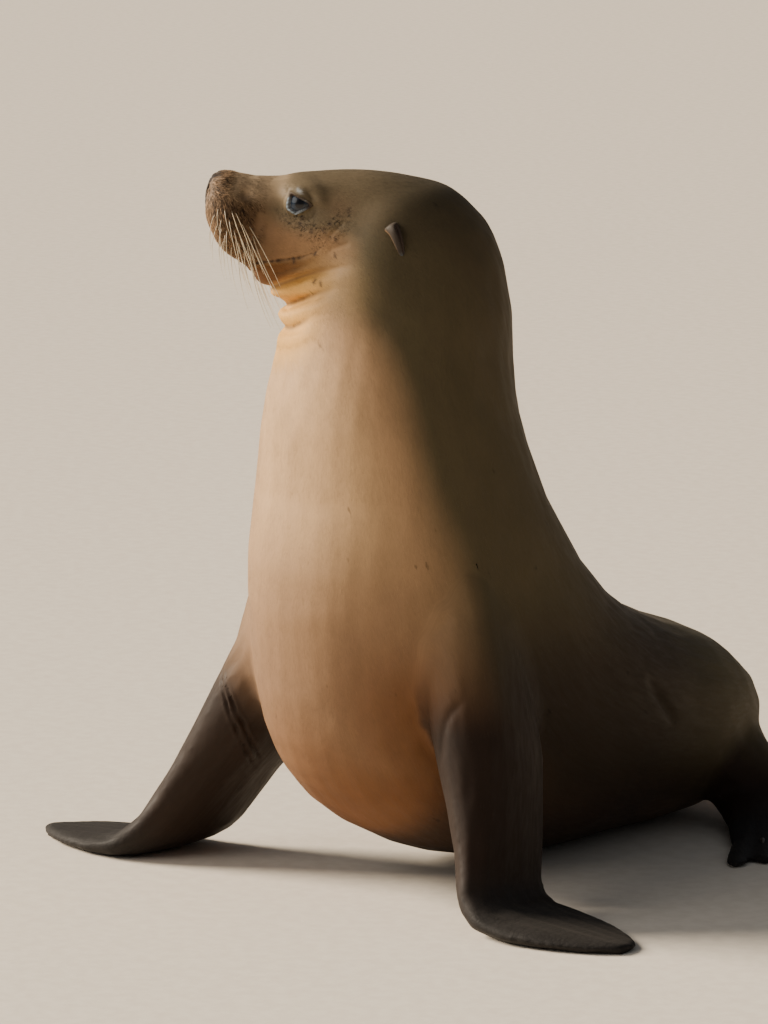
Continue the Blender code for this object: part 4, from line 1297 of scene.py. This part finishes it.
def claw(side, number, material):
    """A small arched nail, narrower towards its tip, sunk in the toe."""
    node = f"claw_{side}_{number}"
    low, high = corners(node)
    middle = (low + high) / 2
    heel = BASE + (SIDES[side] * HEEL[0], HEEL[1], 0)
    heading = unit((middle - heel) * (1, 1, 0))
    level = np.cross(heading, (0, 0, 1))
    directions, _ = ball_directions(*NAIL_MESH)
    forward = directions[:, 2]
    places = np.stack(
        [
            0.0027 * directions[:, 0] * (1 - 0.30 * forward),
            0.0075 * forward,
            0.0027 * directions[:, 1] * (1 - 0.25 * forward) - 0.0012 * forward**2 + 0.0004,
        ],
        axis=1,
    )
    places = middle + places @ np.array([level, heading, (0, 0, 1)])
    places[:, 2] = np.maximum(places[:, 2], COAT_LOWEST)
    made = linked(f"nail_{side}_{number}", places, ball_faces(*NAIL_MESH))
    give(made.data, "along", (forward + 1) / 2)
    give(made.data, "lie", (places - middle) * 100)
    made.data.materials.append(material)
    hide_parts(node)
    return made


# ---------------------------------------------------------------- stage


def light(name, kind, place, aim, size, power, colour):
    """A round softbox, or a sun whose size is its angle."""
    data = bpy.data.lights.new(name, kind)
    data.energy, data.color = power, colour
    if kind == "AREA":
        data.shape, data.size = "DISK", size
    else:
        data.angle = size
    lamp = added(name, data)
    lamp.location = place
    lamp.rotation_euler = Vector(aim - place).to_track_quat("-Z", "Y").to_euler()


CAMERA_TURN, CAMERA_RISE = math.radians(42), math.radians(10)
CAMERA_DISTANCE = 6.0
FRAME_HEIGHT = 1.0503  # metres seen from top to bottom at the middle of the animal
AIM = (-0.0041, 0.3754)  # to the right of BASE, and above it
LIT = (0, 0.05, 0.40)  # what the lights point at, from BASE
LIGHTS = [  # name, kind, distance, way from the animal (right, up, back), size, power, colour
    ("key", "SUN", 3.0, (-0.90, 0.55, -0.32), math.radians(26), 9.2, (1.0, 0.87, 0.70)),
    ("fill", "AREA", 3.6, (-0.82, 0.42, 0.45), 2.6, 48, (1.0, 0.93, 0.84)),
]
SKY_COLOUR, SKY_STRENGTH = (0.84, 0.88, 0.94, 1), 0.17
FLOOR_REACH = 40


def stage():
    back = np.array(
        [
            math.sin(CAMERA_TURN) * math.cos(CAMERA_RISE),
            -math.cos(CAMERA_TURN) * math.cos(CAMERA_RISE),
            math.sin(CAMERA_RISE),
        ]
    )
    right = np.array([math.cos(CAMERA_TURN), math.sin(CAMERA_TURN), 0.0])
    up = np.cross(back, right)
    target = BASE + AIM[0] * right + AIM[1] * up
    data = bpy.data.cameras.new("camera")
    data.sensor_fit = "AUTO"
    data.sensor_width = 36.0
    data.lens = data.sensor_width * CAMERA_DISTANCE / FRAME_HEIGHT
    camera = added("camera", data)
    camera.location = target + back * CAMERA_DISTANCE
    camera.rotation_euler = Vector(back).to_track_quat("Z", "Y").to_euler()
    bpy.context.scene.camera = camera

    reach = FLOOR_REACH
    rim = [(-reach, -reach, 0), (reach, -reach, 0), (reach, reach, 0), (-reach, reach, 0)]
    floor = linked("floor", rim, [(0, 1, 2, 3)])
    floor.data.materials.append(floor_material())

    middle = BASE + LIT
    for name, kind, distance, (aside, above, behind), size, power, colour in LIGHTS:
        way = aside * right + above * np.array([0.0, 0.0, 1.0]) + behind * back
        light(name, kind, middle + distance * way, middle, size, power, colour)
    world = bpy.data.worlds.new("studio")
    world.use_nodes = True
    background = world.node_tree.nodes["Background"]
    background.inputs["Color"].default_value = SKY_COLOUR
    background.inputs["Strength"].default_value = SKY_STRENGTH
    bpy.context.scene.world = world


# ---------------------------------------------------------------- the whole animal


def skinned():
    net = one_skin()
    flippers = [f"{limb}_flipper_{side}" for limb in ("fore", "hind") for side in SIDES]
    hands = np.clip(sum(node_mask(net, node) for node in flippers), 0, 1)
    hands = net.soften(hands, 8)[:, None]
    net.relax(70, 1.0 - 0.7 * hands, back=1.06)
    face = np.linalg.norm(to_head(net.places) - (0.08, 0, 0), axis=1)
    face = step(0.170, 0.120, face)[:, None]
    depth = COAT_DEPTH + (FACE_COAT_DEPTH - COAT_DEPTH) * face
    net.places -= net.normals() * depth * (1 - 0.8 * hands)
    net.store()
    refine(net, on_head(0.070, 0, -0.015), HEAD_REGION)
    net.relax(3, 1.0, back=1.04)
    net.store()
    refine(net, on_head(0.112, 0, -0.005), FACE_REGION)
    net.relax(2, 1.0, back=1.04)
    net.store()
    for sign in SIDES.values():
        refine(net, BASE + np.array(ARMPIT) * (sign, 1, 1), ARMPIT_REGION)
    net.relax(1, 1.0)
    sculpt_head(net)
    sculpt_body(net)
    nearness = shape_lids(net)
    net.store()
    fields = Fields(net, nearness)
    fields.tint, fields.bare, fields.worn = markings(net, fields)
    for name in ("tint", "lie", "bare", "worn"):
        give(net.data, name, getattr(fields, name))
    net.data.shade_smooth()
    return net, fields


stage()
net, fields = skinned()
fur = coat_material()
net.data.materials.clear()
net.data.materials.append(fur)
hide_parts(*FLESH)
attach(net.obj, "root")
tree = tree_of(net.data)
wet = eye_material()
ivory = horn_material("ivory_hair", (0.50, 0.40, 0.26), (0.86, 0.74, 0.52), 0.35)
nail = horn_material("dark_horn", (0.034, 0.027, 0.022), (0.075, 0.062, 0.050), 0.35)
for side in SIDES:
    for made, slot in ((eye(side, wet), "eye"), (ear(side, tree, fur), "coat")):
        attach(made, "root")
    whiskers(side, tree, ivory)
    for number in (1, 2, 3):
        made = claw(side, number, nail)
        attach(made, "root")
coat(net, fields, tree, fur)
